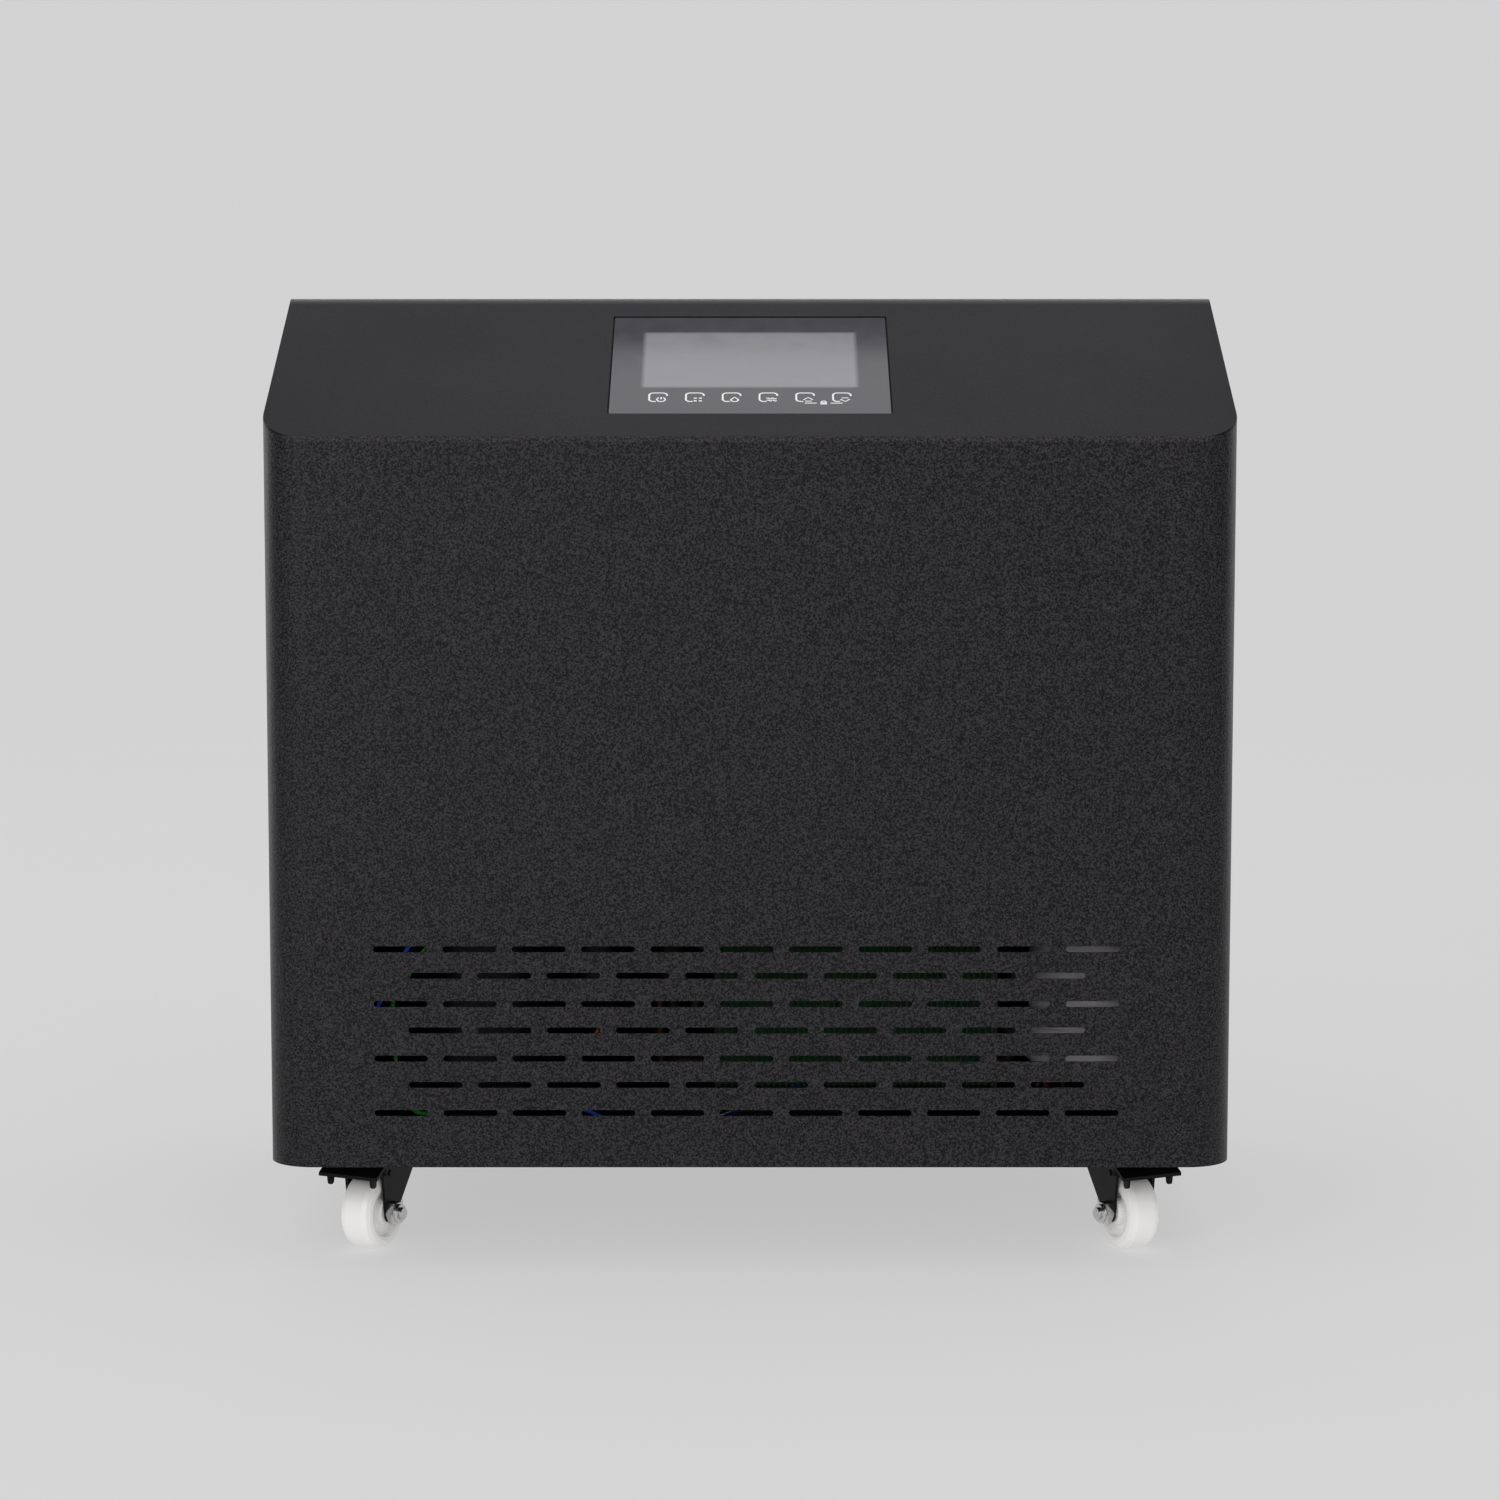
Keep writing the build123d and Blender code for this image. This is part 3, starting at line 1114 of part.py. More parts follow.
def save_axle(node, place):
    """Axle bolt with its head, two spacers and a lock nut."""
    outer = FORK_GAP / 2 + FORK_SHEET
    axle_at = (CASTOR_TRAIL, WHEEL_R)
    nut = place[3]
    with BuildPart() as bolt:
        with BuildSketch(along_trail(place, -nut * outer)):
            with Locations(axle_at):
                Circle(AXLE_R)
        extrude(amount=nut * (2 * outer + 9.5))
        with BuildSketch(along_trail(place, -nut * outer)):
            with Locations(axle_at):
                RegularPolygon(7.3, 6)
        extrude(amount=-nut * 4.6)
        for side in (-1, 1):
            with BuildSketch(along_trail(place, side * (WHEEL_W / 2 + 0.15))):
                with Locations(axle_at):
                    Circle(6)
                    Circle(AXLE_R + 0.1, mode=Mode.SUBTRACT)
            extrude(amount=side * (FORK_GAP / 2 - WHEEL_W / 2 - 0.15))
        with BuildSketch(along_trail(place, nut * outer)):
            with Locations(axle_at):
                RegularPolygon(8.0, 6)
                Circle(AXLE_R + 0.1, mode=Mode.SUBTRACT)
        extrude(amount=nut * 5.2)
        with BuildSketch(along_trail(place, nut * (outer + 5.2))):
            with Locations(axle_at):
                Circle(6.2)
                Circle(AXLE_R + 0.1, mode=Mode.SUBTRACT)
        extrude(amount=nut * 2.2)
    save(bolt, node)


def save_pedal(node, place):
    """Brake pedal: a pressed plate with a turned-down tip, two stop tabs, ears and a shoe."""
    inner_face = FORK_GAP / 2 + FORK_SHEET + RACE_GAP
    with BuildPart() as pedal:
        with BuildSketch(along_trail(place, -PEDAL_W / 2)):
            with BuildLine():
                Polyline(
                    (24, 59.6),
                    (41, 59.6),
                    (53, 52.6),
                    (53, 54.8),
                    (42, 61.4),
                    (24, 61.4),
                    close=True,
                )
            make_face()
        extrude(amount=PEDAL_W)
        for side in (-1, 1):
            with BuildSketch(along_trail(place, side * inner_face)):
                with BuildLine():
                    Polyline((43, 59.6), (51.4, 54.6), (50, 46.4), (45.2, 46.4), close=True)
                tab = make_face()
                fillet(tab.vertices().group_by(Axis.Z)[0], 2.2)
                with BuildLine():
                    Polyline((24.5, 61), (34, 61), (31, 51.5), (24.5, 51.5), close=True)
                make_face()
                with Locations(PEDAL_PIVOT):
                    Circle(PEDAL_PIN_R + RUNNING_GAP, mode=Mode.SUBTRACT)
            extrude(amount=side * EAR_THICK)
        with BuildSketch(along_trail(place, -SHOE_W / 2)):
            with BuildLine():
                Polyline((33, 60.5), (40, 60.5), (38, 49.6), (33.6, 49.6), close=True)
            make_face()
        extrude(amount=SHOE_W)
    save(pedal, node)


for castor_name, castor_place in CASTORS.items():
    save_fork(f"{castor_name}_fork", castor_place)
    save_wheel(f"{castor_name}_wheel", castor_place)
    save_axle(f"{castor_name}_axle", castor_place)
    if castor_place[4]:
        save_pedal(f"{castor_name}_pedal", castor_place)
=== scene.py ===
import json
import math

import bmesh
import bpy
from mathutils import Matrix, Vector


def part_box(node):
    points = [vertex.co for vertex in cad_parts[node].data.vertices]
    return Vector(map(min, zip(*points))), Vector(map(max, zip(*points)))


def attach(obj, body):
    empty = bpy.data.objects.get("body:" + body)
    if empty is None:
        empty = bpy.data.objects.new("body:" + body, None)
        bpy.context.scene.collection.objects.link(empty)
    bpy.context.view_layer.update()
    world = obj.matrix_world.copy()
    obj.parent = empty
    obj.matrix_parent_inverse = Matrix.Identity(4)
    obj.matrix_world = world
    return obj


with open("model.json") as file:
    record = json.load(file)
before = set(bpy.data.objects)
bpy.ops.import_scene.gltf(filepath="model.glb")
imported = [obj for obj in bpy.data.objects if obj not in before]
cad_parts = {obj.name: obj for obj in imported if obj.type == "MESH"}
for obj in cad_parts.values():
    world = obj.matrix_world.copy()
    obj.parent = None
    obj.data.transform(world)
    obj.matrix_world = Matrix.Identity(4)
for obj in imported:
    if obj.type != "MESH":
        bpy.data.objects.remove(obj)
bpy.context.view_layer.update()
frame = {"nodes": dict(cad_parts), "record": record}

NODES = frame["nodes"]
MM = 0.001

# ---- driving sizes, in metres ---------------------------------------------------------------
SLOPE_ANGLE = math.radians(24.84)
GLASS_THICK = 3.0 * MM
LIP_TOP = 545.2 * MM                              # where the cover's front bend meets its slope
CREST_START, CREST_END = -52.0 * MM, -39.0 * MM   # the bend between slope and level top, where the cover bears a painted highlight
LIP_EDGE, CREST_EDGE = 0.5 * MM, 1.2 * MM         # half the width of the soft edges of the lip's speckle and of the painted crest highlight
CAMERA_STAND_OFF = 2.531                          # in front of the cabinet's face
CAMERA_RISE = 0.550                               # above the casing's bottom edge
CAMERA_PITCH = math.radians(6.22)
CAMERA_LENS = 94.66                               # mm
SENSOR_WIDTH = 36.0                               # mm

wrap_low, wrap_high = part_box("front_wrap")
glass_low, glass_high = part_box("display_glass")


def add_object(name, data):
    """Puts an object with this mesh, light or camera in the scene."""
    made = bpy.data.objects.new(name, data)
    bpy.context.scene.collection.objects.link(made)
    return made


# ---- camera ---------------------------------------------------------------------------------
def make_camera():
    data = bpy.data.cameras.new("camera")
    data.lens = CAMERA_LENS
    data.sensor_width = SENSOR_WIDTH
    camera = add_object("camera", data)
    camera.location = (0.0, wrap_low.y - CAMERA_STAND_OFF, wrap_low.z + CAMERA_RISE)
    camera.rotation_euler = (math.pi / 2 - CAMERA_PITCH, 0.0, 0.0)
    bpy.context.scene.camera = camera


make_camera()


# ---- material building ----------------------------------------------------------------------
class Graph:
    """A material's node graph round one Principled shader."""

    def __init__(self, name):
        self.name = name
        self.material = bpy.data.materials.new(name)
        self.material.use_nodes = True
        self.tree = self.material.node_tree
        self.tree.nodes.clear()
        output = self.tree.nodes.new("ShaderNodeOutputMaterial")
        self.shader = self.tree.nodes.new("ShaderNodeBsdfPrincipled")
        self.tree.links.new(self.shader.outputs[0], output.inputs["Surface"])
        self.place = self.tree.nodes.new("ShaderNodeTexCoord").outputs["Object"]

    def node(self, kind, settings=None, **inputs):
        """Adds a node; an input's name has _ where the socket's name has a space."""
        made = self.tree.nodes.new("ShaderNode" + kind)
        for key, value in (settings or {}).items():
            setattr(made, key, value)
        for key, value in inputs.items():
            self.feed(made.inputs[key.replace("_", " ")], value)
        return made

    def feed(self, socket, value):
        """Links the socket to another node's output, or sets it to a constant."""
        if isinstance(value, bpy.types.NodeSocket):
            self.tree.links.new(value, socket)
        else:
            socket.default_value = value

    def set(self, **inputs):
        """Feeds the Principled shader's inputs."""
        for key, value in inputs.items():
            self.feed(self.shader.inputs[key.replace("_", " ")], value)

    def split(self):
        """The place on the object, as X, Y and Z outputs."""
        return self.node("SeparateXYZ", Vector=self.place).outputs

    def noise(self, scale, detail=2.0, roughness=0.5, stretch=None):
        place = self.place
        if stretch:
            place = self.node("Mapping", Vector=place, Scale=stretch).outputs["Vector"]
        made = self.node(
            "TexNoise", Vector=place, Scale=scale, Detail=detail, Roughness=roughness
        )
        return made.outputs["Fac"]

    def spread(self, value, low, high, from_low=0.3, from_high=0.7):
        """Maps from_low..from_high to low..high; a noise mostly keeps to 0.3..0.7."""
        made = self.node(
            "MapRange",
            Value=value,
            From_Min=from_low,
            From_Max=from_high,
            To_Min=low,
            To_Max=high,
        )
        return made.outputs["Result"]

    def rises(self, value, edge, softness):
        """0 before the edge and 1 after it, with a soft change between."""
        return self.spread(value, 0.0, 1.0, edge - softness, edge + softness)

    def falls(self, value, edge, softness):
        """1 before the edge and 0 after it, with a soft change between."""
        return self.spread(value, 1.0, 0.0, edge - softness, edge + softness)

    def blend(self, factor, first, second):
        made = self.node("Mix", {"data_type": "RGBA"})
        self.feed(made.inputs[0], factor)
        # the colour sockets are the third pair of A and B
        self.feed(made.inputs[6], first)
        self.feed(made.inputs[7], second)
        return made.outputs[2]

    def mottle(self, noise, first, second):
        """A colour that wanders between two as the noise does."""
        return self.blend(self.spread(noise, 0.0, 1.0), first, second)

    def math(self, operation, first, second=0.0):
        made = self.node("Math", {"operation": operation})
        self.feed(made.inputs[0], first)
        self.feed(made.inputs[1], second)
        return made.outputs[0]

    def bump(self, height, distance, strength=0.5):
        made = self.node("Bump", Height=height, Strength=strength, Distance=distance)
        return made.outputs["Normal"]


def grey(value, tint=(1.0, 1.0, 1.0)):
    return (value * tint[0], value * tint[1], value * tint[2], 1.0)


# ---- materials ------------------------------------------------------------------------------
# the grain of every finish is in cells per metre
FRONT_GRAIN = 820.0
COVER_GRAIN = 640.0
# painted highlight: a paler coat standing in for the shine along the crest
CREST_HIGHLIGHT_COLOUR = grey(0.034, (1.0, 1.0, 1.04))
FINE_GRAIN_RATIO = 2.6        # the coat's second, finer pebble
PEBBLE_SHARE, FINE_SHARE = 0.7, 0.3
SPECKLE_LOW, SPECKLE_HIGH = 0.44, 0.60            # pebble height where dark turns to light
LIP_SPECKLE_LOW = 0.40
GLOSS_CLOUDS = 9.0
GLOSS_CHANGE = 0.02
BROAD_GRAIN_RATIO = 0.12      # mottling of a plain finish, beside its fine skin
STREAK_GRAIN, SHEEN_GRAIN = 900.0, 30.0
SPANGLE_GRAIN = 110.0


def powder_coat(name, dark, light, grain, depth, roughness, shine, lip=None):
    """Sprayed coating: fine speckle in the colour, a pebbled skin, and cloudy gloss; on the
    cover, painted light at both bends.
    """
    graph = Graph(name)
    pebble = graph.math("MULTIPLY", graph.noise(grain, detail=3.0, roughness=0.55), PEBBLE_SHARE)
    fine = graph.math("MULTIPLY", graph.noise(grain * FINE_GRAIN_RATIO, detail=2.0), FINE_SHARE)
    skin = graph.math("ADD", pebble, fine)
    colour = graph.blend(graph.spread(skin, 0.0, 1.0, SPECKLE_LOW, SPECKLE_HIGH), dark, light)
    if lip is not None:
        place = graph.split()
        # below the top of the cover's front bend the coat takes a paler speckle like the wrap's:
        # the upright lip's own coat, and over the bend a painted lightening that hides the shade
        # along it
        lip_and_bend_mask = graph.falls(place["Z"], LIP_TOP, LIP_EDGE)
        coarse = graph.noise(FRONT_GRAIN, detail=3.0, roughness=0.6)
        speckle = graph.spread(coarse, 0.0, 1.0, LIP_SPECKLE_LOW, SPECKLE_HIGH)
        colour = graph.blend(lip_and_bend_mask, colour, graph.blend(speckle, lip[0], lip[1]))
        # painted highlight: the coat is painted paler across the bend to the level top, standing
        # in for the shine along the crest
        after = graph.rises(place["Y"], CREST_START, CREST_EDGE)
        before = graph.falls(place["Y"], CREST_END, CREST_EDGE)
        colour = graph.blend(graph.math("MULTIPLY", after, before), colour, CREST_HIGHLIGHT_COLOUR)
    cloud = graph.noise(GLOSS_CLOUDS, detail=3.0)
    gloss = graph.spread(cloud, roughness - GLOSS_CHANGE, roughness + GLOSS_CHANGE)
    graph.set(Base_Color=colour, Roughness=gloss, Specular_IOR_Level=shine)
    graph.set(Normal=graph.bump(skin, depth, strength=0.8))
    return graph


def plain_finish(
    name, low, high, grain, depth, rough_low, rough_high, metallic=0.0, shine=0.5
):
    """Mottled colour, uneven gloss and a fine skin, for moulded, drawn and painted parts."""
    graph = Graph(name)
    broad = graph.noise(grain * BROAD_GRAIN_RATIO, detail=4.0)
    fine = graph.noise(grain, detail=3.0)
    graph.set(Base_Color=graph.mottle(broad, low, high), Metallic=metallic)
    graph.set(Roughness=graph.spread(fine, rough_low, rough_high), Specular_IOR_Level=shine)
    graph.set(Normal=graph.bump(fine, depth))
    return graph


def brushed_finish(name, low, high, stretch, rough_low, rough_high):
    """Drawn or ground metal: streaks along one direction."""
    graph = Graph(name)
    streak = graph.noise(STREAK_GRAIN, detail=3.0, stretch=stretch)
    sheen = graph.noise(SHEEN_GRAIN, detail=3.0)
    graph.set(Base_Color=graph.mottle(sheen, low, high), Metallic=1.0)
    graph.set(Roughness=graph.spread(streak, rough_low, rough_high))
    graph.set(Normal=graph.bump(streak, 0.05 * MM))
    return graph


def galvanised_finish(name):
    """Zinc-coated sheet with its crystal spangle."""
    graph = Graph(name)
    crystals = graph.node("TexVoronoi", Vector=graph.place, Scale=SPANGLE_GRAIN)
    shade = graph.node("RGBToBW", Color=crystals.outputs["Color"]).outputs[0]
    graph.set(Base_Color=graph.mottle(shade, grey(0.42), grey(0.6)), Metallic=1.0)
    graph.set(Roughness=graph.spread(shade, 0.32, 0.5))
    graph.set(Normal=graph.bump(graph.noise(500.0), 0.05 * MM, strength=0.4))
    return graph


def slope_place():
    """Axes of the glass: its lower edge's middle, up the slope, and out of its face."""
    up = Vector((0.0, math.cos(SLOPE_ANGLE), math.sin(SLOPE_ANGLE)))
    out = Vector((0.0, -math.sin(SLOPE_ANGLE), math.cos(SLOPE_ANGLE)))
    length = (glass_high.y - glass_low.y - GLASS_THICK * up.z) / up.y
    origin = Vector((0.0, glass_low.y, glass_high.z - length * up.z))
    return origin, up, out


GLASS_ORIGIN, GLASS_UP, GLASS_OUT = slope_place()
WINDOW_HALF_W = 70.5 * MM
WINDOW_LOW, WINDOW_HIGH = 39.0 * MM, 123.0 * MM   # up the slope from the glass's lower edge
WINDOW_EDGE = 1.6 * MM                            # half the width of its soft edge


def panel_glass(name):
    """Back-printed cover glass: dark border, lighter window with a soft edge, clear gloss."""
    graph = Graph(name)
    place = graph.split()
    across = graph.math("ABSOLUTE", place["X"])
    behind = graph.math("SUBTRACT", place["Y"], GLASS_ORIGIN.y)
    height = graph.math("DIVIDE", behind, math.cos(SLOPE_ANGLE))
    inside = graph.falls(across, WINDOW_HALF_W, WINDOW_EDGE)
    above = graph.rises(height, WINDOW_LOW, WINDOW_EDGE)
    below = graph.falls(height, WINDOW_HIGH, WINDOW_EDGE)
    window = graph.math("MULTIPLY", inside, graph.math("MULTIPLY", above, below))
    smear = graph.noise(60.0, detail=5.0)
    border = graph.mottle(smear, grey(0.005, (1.0, 1.0, 2.6)), grey(0.007, (1.0, 1.0, 3.0)))
    film = graph.mottle(smear, grey(0.190, (1.0, 1.0, 1.08)), grey(0.205, (1.0, 1.0, 1.14)))
    graph.set(Base_Color=graph.blend(window, border, film), Specular_IOR_Level=0.17)
    graph.set(Roughness=graph.spread(smear, 0.05, 0.08))
    graph.set(Normal=graph.bump(graph.noise(200.0), 0.005 * MM, strength=0.3))
    return graph


# a plain finish has two colours, a grain, the depth of its skin, and a range of roughness
FINISHES = [
    powder_coat(
        "powder_coat",
        grey(0.001), grey(0.037, (1.0, 0.92, 1.08)),
        FRONT_GRAIN, 0.65 * MM, 0.36, 0.17,
    ),
    powder_coat(
        "cover_coat",
        grey(0.006), grey(0.012, (1.0, 0.95, 1.7)),
        COVER_GRAIN, 0.12 * MM, 0.5, 0.12,
        # the lip's speckle; over the front bend it is a painted lightening that hides the bend's
        # shade
        lip=(grey(0.008), grey(0.052, (1.0, 0.90, 1.0))),
    ),
    panel_glass("panel_glass"),
    galvanised_finish("galvanised"),
    brushed_finish("steel", grey(0.5), grey(0.62), (1.0, 0.05, 1.0), 0.2, 0.35),
    brushed_finish("titanium", grey(0.35), grey(0.45), (1.0, 1.0, 0.1), 0.3, 0.45),
    plain_finish(
        "black_screw", grey(0.02), grey(0.035), 900.0, 0.03 * MM, 0.25, 0.45, metallic=1.0
    ),
    plain_finish("zinc", grey(0.62), grey(0.75), 600.0, 0.03 * MM, 0.15, 0.3, metallic=1.0),
    plain_finish(
        "copper",
        (0.17, 0.075, 0.042, 1.0), (0.28, 0.12, 0.07, 1.0),
        500.0, 0.03 * MM, 0.28, 0.48, metallic=1.0,
    ),
    plain_finish(
        "coated_copper",
        (0.012, 0.010, 0.008, 1.0), (0.030, 0.022, 0.014, 1.0),
        400.0, 0.06 * MM, 0.4, 0.6,
    ),
    plain_finish(
        "coated_plate",
        grey(0.020, (1.0, 1.15, 1.0)), grey(0.035, (1.0, 1.1, 1.0)),
        300.0, 0.06 * MM, 0.4, 0.6,
    ),
    plain_finish(
        "fin_coat",
        (0.008, 0.060, 0.014, 1.0), (0.018, 0.110, 0.030, 1.0),
        500.0, 0.05 * MM, 0.4, 0.6,
    ),
    plain_finish(
        "circuit_board",
        (0.01, 0.10, 0.04, 1.0), (0.015, 0.15, 0.05, 1.0),
        400.0, 0.05 * MM, 0.3, 0.45,
    ),
    # painted light: the PVC is painted near white and faintly violet, paler than grey PVC, to
    # make up for the dim light behind the slots and to cancel the green the fins throw on it
    plain_finish(
        "grey_pvc",
        grey(0.90, (1.04, 0.98, 1.06)), grey(0.93, (1.03, 0.98, 1.06)),
        400.0, 0.05 * MM, 0.35, 0.5,
    ),
    plain_finish(
        "nylon",
        grey(0.92, (1.0, 0.99, 0.97)), grey(0.96, (1.0, 0.99, 0.98)),
        350.0, 0.04 * MM, 0.3, 0.42,
    ),
    plain_finish(
        "blue_insulation",
        (0.03, 0.12, 0.85, 1.0), (0.05, 0.17, 0.95, 1.0),
        500.0, 0.02 * MM, 0.3, 0.4,
    ),
    plain_finish(
        "green_insulation",
        (0.03, 0.42, 0.05, 1.0), (0.05, 0.52, 0.08, 1.0),
        500.0, 0.02 * MM, 0.3, 0.4,
    ),
    plain_finish("black_insulation", grey(0.012), grey(0.02), 500.0, 0.03 * MM, 0.45, 0.6),
    plain_finish("black_plastic", grey(0.014), grey(0.022), 1200.0, 0.05 * MM, 0.35, 0.5),
    plain_finish("fan_plastic", grey(0.02), grey(0.03), 900.0, 0.05 * MM, 0.4, 0.55),
    plain_finish("pump_plastic", grey(0.025), grey(0.04), 600.0, 0.1 * MM, 0.4, 0.6),
    plain_finish("compressor_paint", grey(0.012), grey(0.022), 500.0, 0.1 * MM, 0.25, 0.4),
    plain_finish("black_steel", grey(0.012), grey(0.02), 700.0, 0.06 * MM, 0.3, 0.45),
    plain_finish(
        "castor_steel", grey(0.004), grey(0.008), 700.0, 0.05 * MM, 0.28, 0.42, shine=0.12
    ),
    plain_finish(
        "black_rubber", grey(0.004), grey(0.008), 700.0, 0.08 * MM, 0.6, 0.8, shine=0.12
    ),
    plain_finish(
        "dull_coat", grey(0.008), grey(0.014), 700.0, 0.1 * MM, 0.75, 0.9, shine=0.08
    ),
    plain_finish("lcd", grey(0.25), grey(0.3), 300.0, 0.01 * MM, 0.2, 0.3),
    plain_finish("legend_ink", grey(0.90), grey(0.95), 900.0, 0.01 * MM, 0.4, 0.5),
]
MATERIALS = {graph.name: graph.material for graph in FINISHES}


# These nodes wear a dark coat and not their slot's bare metal. The condenser is dipped whole
# against corrosion; the base pan, the drier and the lines beside it are painted.
COATED = {
    "condenser_bends": "coated_copper",
    "condenser_end_plates": "coated_plate",
    "filter_drier": "coated_copper",
    "discharge_line": "coated_copper",
    "liquid_line": "coated_copper",
    "base_pan": "dull_coat",
}


def paint_frame():
    """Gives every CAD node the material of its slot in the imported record, or its coating."""
    for part in frame["record"]["subparts"]:
        finish = COATED.get(part["node"], part["material_slot"])
        worn = NODES[part["node"]].data.materials
        worn.clear()
        worn.append(MATERIALS[finish])


paint_frame()


# ---- key legends ----------------------------------------------------------------------------
KEY_RISE = 24.0 * MM          # centres of the keys above the glass's lower edge
KEY_PITCH = 24.0 * MM
KEY_HALF_W, KEY_HALF_H, KEY_CORNER = 5.8 * MM, 6.3 * MM, 3.0 * MM
KEY_GAP_LEFT, KEY_GAP_TOP = -1.2 * MM, 2.0 * MM   # ends of the outline's open corner
INK = 1.2 * MM                # width of a printed line
THIN_INK = 1.0 * MM
INK_HEIGHT = 0.08 * MM
GLYPH_AT = (2.0 * MM, -3.4 * MM)                  # from the key's centre
LOCK_AT = (48.0 * MM, -8.6 * MM)                  # from the middle of the row of keys
DASHES = ((35.6, 43.5), (52.4, 60.3))             # mm from the middle, beside the padlock
DASH_DROP = 0.2 * MM                              # below the padlock's centre
ARC_STEP = 15                                     # degrees between the points of an arc


def arc(middle_x, middle_y, radius, start, end, squash=1.0):
    """Points of an arc, in degrees anticlockwise from the right."""
    steps = max(3, round(abs(end - start) / ARC_STEP))
    turns = [math.radians(start + (end - start) * step / steps) for step in range(steps + 1)]
    return [
        (middle_x + radius * math.cos(turn), middle_y + radius * squash * math.sin(turn))
        for turn in turns
    ]


def key_outline():
    """A rounded square left open where its glyph stands, at the lower right."""
    side, top = KEY_HALF_W - KEY_CORNER, KEY_HALF_H - KEY_CORNER
    lower_left = arc(-side, -top, KEY_CORNER, 270, 180)
    upper_left = arc(-side, top, KEY_CORNER, 180, 90)
    upper_right = arc(side, top, KEY_CORNER, 90, 0)
    start, end = (KEY_GAP_LEFT, -KEY_HALF_H), (KEY_HALF_W, KEY_GAP_TOP)
    return [start] + lower_left + upper_left + upper_right + [end]


def mm_path(*points):
    return [(x * MM, y * MM) for x, y in points]


def wave(rise):
    """Two periods of a level wave, drawn in twelve steps."""
    return mm_path(
        *((3.2 * (step / 6 - 1), rise + 0.9 * math.sin(step * math.pi / 3)) for step in range(13))
    )


def glyphs():
    """One generic sign for each key, as lines about the glyph's middle."""
    power = [arc(0, 0, 2.7 * MM, 120, 420, 1.15), mm_path((0, 0.4), (0, 3.4))]
    bars = [
        mm_path((x - 1, y), (x + 1, y)) for x in (-1.7, 1.7) for y in (-2.3, -1.6, 1.6, 2.3)
    ]
    tip = mm_path((-1.6, 1.1), (0, 3.6), (1.6, 1.1))
    droplet = [arc(0, -0.7 * MM, 2.4 * MM, -230, 50), tip]
    waves = [wave(-1.5), wave(1.5)]
    raise_arrow = [mm_path((-3, -0.4), (0, 3.0), (3, -0.4)), mm_path((-2.2, -2.4), (2.2, -2.4))]
    lower_arrow = [mm_path((-3, 0.4), (0, -3.0), (3, 0.4)), mm_path((-2.2, 2.4), (2.2, 2.4))]
    return power, bars, droplet, waves, raise_arrow, lower_arrow


def padlock():
    """A bow over a body of four level lines."""
    bow = arc(0, 0.9 * MM, 1.5 * MM, 0, 180, 1.4)
    return [bow] + [mm_path((-2.2, rise), (2.2, rise)) for rise in (-1.6, -0.9, -0.2, 0.5)]


def add_line(mesh, points, width):
    """A printed line on the glass: a flat ribbon with square ends, closed all round."""
    rings = []
    for index, (x, y) in enumerate(points):
        before = Vector(points[max(index - 1, 0)])
        after = Vector(points[min(index + 1, len(points) - 1)])
        along = (after - before).normalized()
        side = Vector((-along.y, along.x)) * width / 2
        ring = []
        for sign, height in ((1, 0), (-1, 0), (-1, INK_HEIGHT), (1, INK_HEIGHT)):
            on_glass = Vector((x, y)) + sign * side
            place = GLASS_ORIGIN + GLASS_UP * on_glass.y + GLASS_OUT * height
            ring.append(mesh.verts.new(place + Vector((on_glass.x, 0.0, 0.0))))
        rings.append(ring)
    for first, second in zip(rings, rings[1:]):
        for corner in range(4):
            following = (corner + 1) % 4
            mesh.faces.new((first[corner], first[following], second[following], second[corner]))
    mesh.faces.new(rings[0][::-1])
    mesh.faces.new(rings[-1])


def add_lines(mesh, lines, right, rise, width):
    """Prints lines about a point of the glass, given from the middle of its lower edge."""
    for line in lines:
        add_line(mesh, [(x + right, y + rise) for x, y in line], width)


def make_legends():
    """The keys with their signs and the padlock, as one piece that rides on the cabinet."""
    mesh = bmesh.new()
    signs = glyphs()
    for number, sign in enumerate(signs):
        key_x = (number - (len(signs) - 1) / 2) * KEY_PITCH
        add_lines(mesh, [key_outline()], key_x, KEY_RISE, INK)
        add_lines(mesh, sign, key_x + GLYPH_AT[0], KEY_RISE + GLYPH_AT[1], THIN_INK)
    lock_rise = KEY_RISE + LOCK_AT[1]
    add_lines(mesh, padlock(), LOCK_AT[0], lock_rise, THIN_INK)
    dashes = [mm_path((start, 0), (end, 0)) for start, end in DASHES]
    add_lines(mesh, dashes, 0.0, lock_rise - DASH_DROP, THIN_INK)
    bmesh.ops.recalc_face_normals(mesh, faces=mesh.faces)
    data = bpy.data.meshes.new("key_legends")
    mesh.to_mesh(data)
    mesh.free()
    data.materials.append(MATERIALS["legend_ink"])
    legends = add_object("key_legends", data)
    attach(legends, "cabinet")


make_legends()


# ---- stage ----------------------------------------------------------------------------------
STAGE_R, SWEEP_R, BACKDROP_TOP = 7.5, 2.5, 4.0
STAGE_SIDES = 96
WORLD_LIGHT = 0.75
PAPER_GLOW = 0.50             # a lit table: the paper carries part of its light itself
FLAG_X, FLAG_GLOW = 1.9, 0.05
FLAG_FRONT, FLAG_BACK, FLAG_TOP = -0.5, 0.65, 2.2


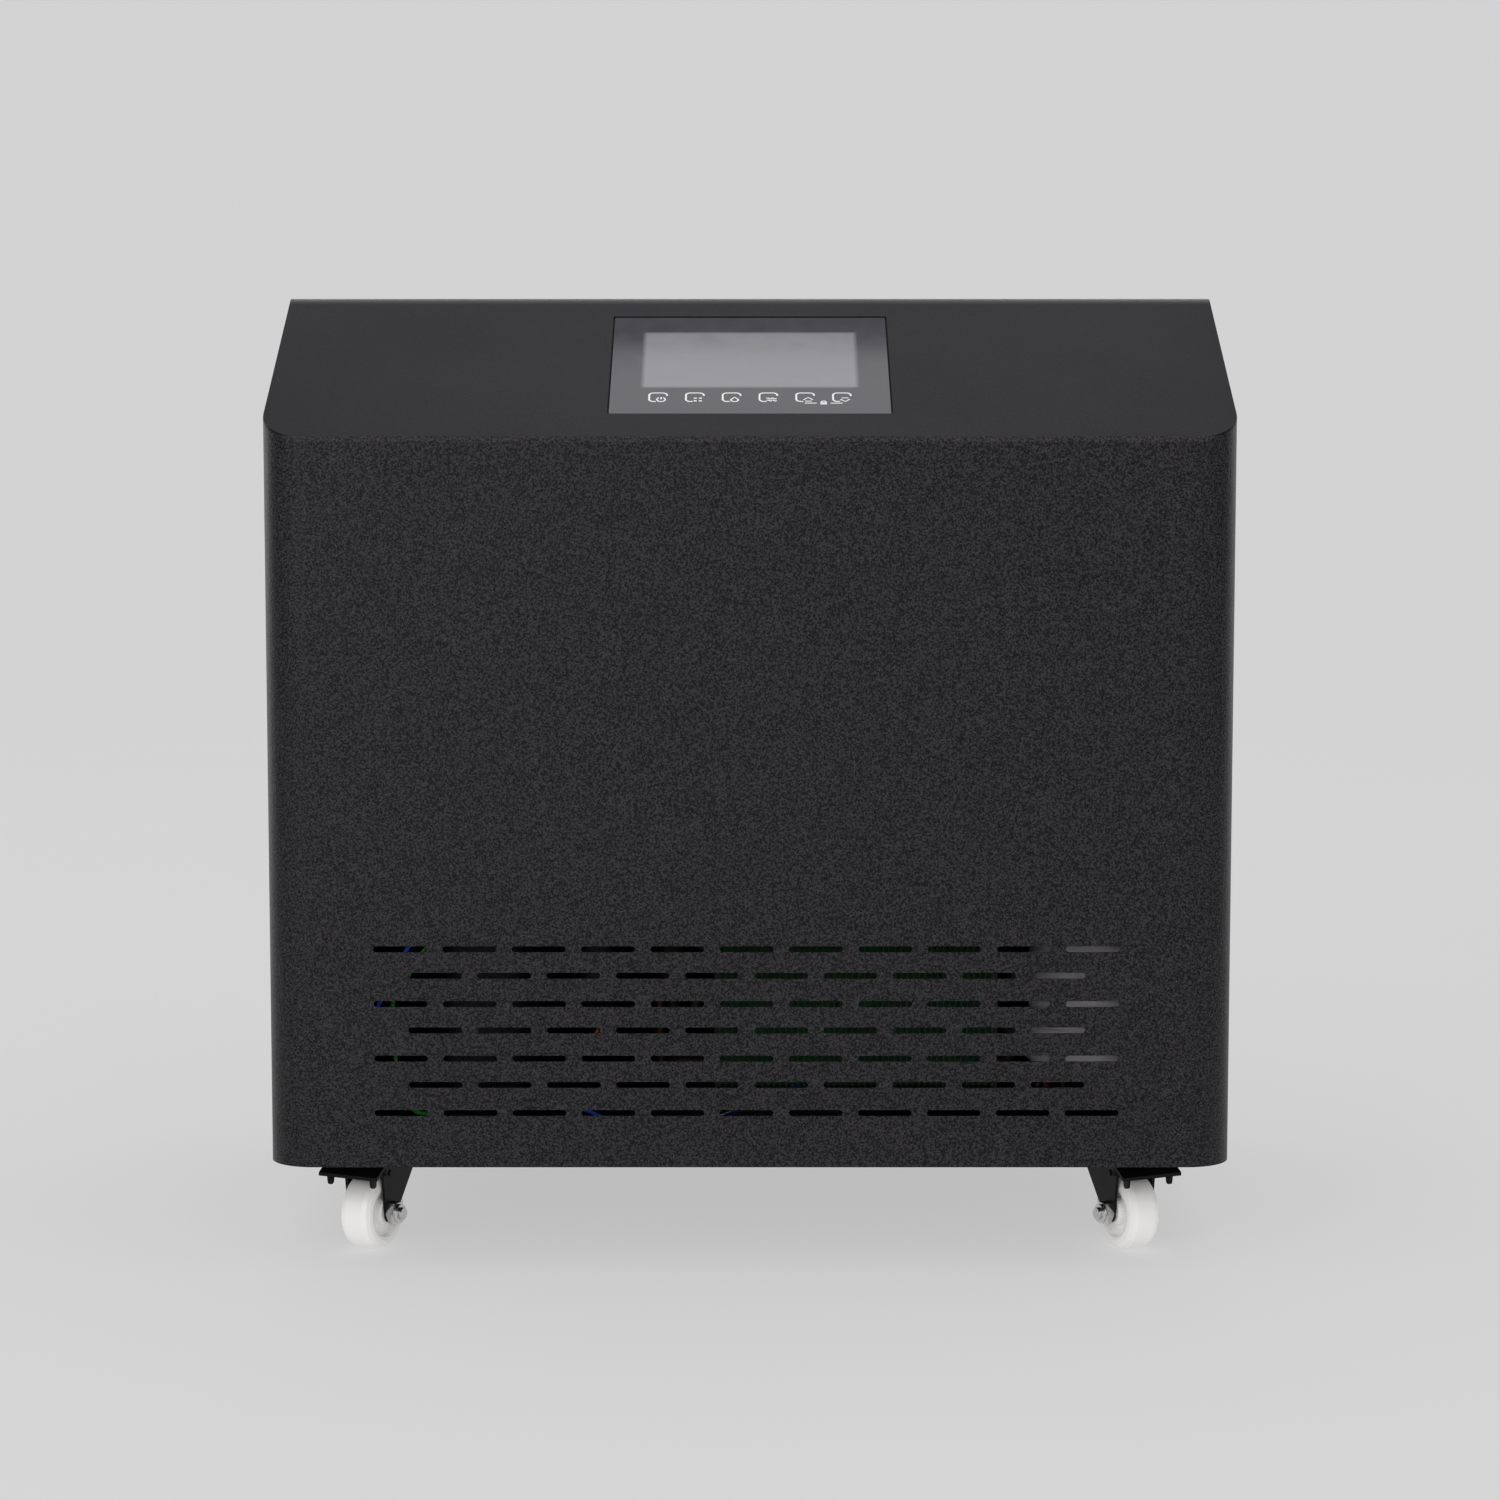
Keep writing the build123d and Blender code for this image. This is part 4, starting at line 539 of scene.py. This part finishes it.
def make_stage():
    """A pale round floor that sweeps up into a backdrop on every side."""
    paper = Graph("paper")
    tone = paper.noise(3.0, detail=2.0)
    paper.set(Base_Color=paper.blend(tone, grey(0.20), grey(0.21)), Roughness=0.9)
    paper.set(Specular_IOR_Level=0.0, Emission_Color=grey(1.0), Emission_Strength=PAPER_GLOW)
    sweep = arc(STAGE_R - SWEEP_R, SWEEP_R, SWEEP_R, -90, 0)
    mesh = bmesh.new()
    middle = mesh.verts.new((0.0, 0.0, 0.0))
    turns = [math.tau * side / STAGE_SIDES for side in range(STAGE_SIDES)]
    rings = [
        [mesh.verts.new((radius * math.cos(turn), radius * math.sin(turn), z)) for turn in turns]
        for radius, z in sweep + [(STAGE_R, BACKDROP_TOP)]
    ]
    for side in range(STAGE_SIDES):
        following = (side + 1) % STAGE_SIDES
        mesh.faces.new((middle, rings[0][side], rings[0][following]))
        for low, high in zip(rings, rings[1:]):
            mesh.faces.new((low[side], high[side], high[following], low[following]))
    for face in mesh.faces:
        face.smooth = True
    data = bpy.data.meshes.new("floor")
    mesh.to_mesh(data)
    mesh.free()
    data.materials.append(paper.material)
    add_object("floor", data)


def make_flags():
    """Dim panels at both sides, seen only in reflections: they darken the upright bends."""
    cloth = Graph("flag")
    cloth.set(Base_Color=grey(0.01), Roughness=0.9, Specular_IOR_Level=0.0)
    cloth.set(Emission_Color=grey(1.0), Emission_Strength=FLAG_GLOW)
    for side_x in (-FLAG_X, FLAG_X):
        corners = [
            (side_x, FLAG_FRONT, 0.0),
            (side_x, FLAG_BACK, 0.0),
            (side_x, FLAG_BACK, FLAG_TOP),
            (side_x, FLAG_FRONT, FLAG_TOP),
        ]
        mesh = bpy.data.meshes.new("flag")
        mesh.from_pydata(corners, [], [(0, 1, 2, 3)])
        mesh.materials.append(cloth.material)
        flag = add_object("flag", mesh)
        flag.visible_camera = False
        flag.visible_diffuse = False
        flag.visible_shadow = False


def make_softbox(name, place, aim, size, brightness, gloss=True, diffuse=True):
    """A rectangular light; its brightness is the radiance of its face."""
    width, height = size
    data = bpy.data.lights.new(name, "AREA")
    data.shape = "RECTANGLE"
    data.size, data.size_y = width, height
    data.energy = brightness * math.pi * width * height
    light = add_object(name, data)
    light.location = place
    light.rotation_euler = (Vector(aim) - Vector(place)).to_track_quat("-Z", "Y").to_euler()
    light.visible_glossy = gloss
    light.visible_diffuse = diffuse


def make_light():
    world = bpy.data.worlds.new("studio")
    bpy.context.scene.world = world
    world.use_nodes = True
    background = world.node_tree.nodes["Background"]
    background.inputs["Color"].default_value = grey(1.0)
    background.inputs["Strength"].default_value = WORLD_LIGHT
    # over the back: its edge falls across the upper third of the glass
    make_softbox("overhead", (0.0, 1.07, 2.3), (0.0, 1.07, 0.0), (1.0, 0.47), 1.7)
    make_softbox("left", (-1.5, -3.2, 1.4), (0.0, -0.2, 0.25), (1.2, 1.4), 5.0)
    # reaches the wheels and the parts behind the slots without a shine on the front
    make_softbox("fill", (0.7, -3.2, 0.7), (0.0, -0.2, 0.15), (1.2, 1.0), 3.2, gloss=False)
    # low and behind: it skims the crest between the slope and the level top
    crest = (0.0, 0.0, wrap_high.z)
    make_softbox("crest", (0.0, 1.9, 1.35), crest, (2.2, 0.5), 4.0, diffuse=False)
    # behind each side: they skim the bends between the front and the sides
    for side, brightness in ((-1, 1.1), (1, 0.5)):
        bend = (side * wrap_high.x, wrap_low.y, 0.35)
        make_softbox("rim", (side * 1.5, 1.1, 0.7), bend, (0.6, 1.4), brightness, diffuse=False)
    scene = bpy.context.scene
    scene.view_settings.view_transform = "Standard"
    scene.view_settings.look = "None"


make_stage()
make_flags()
make_light()
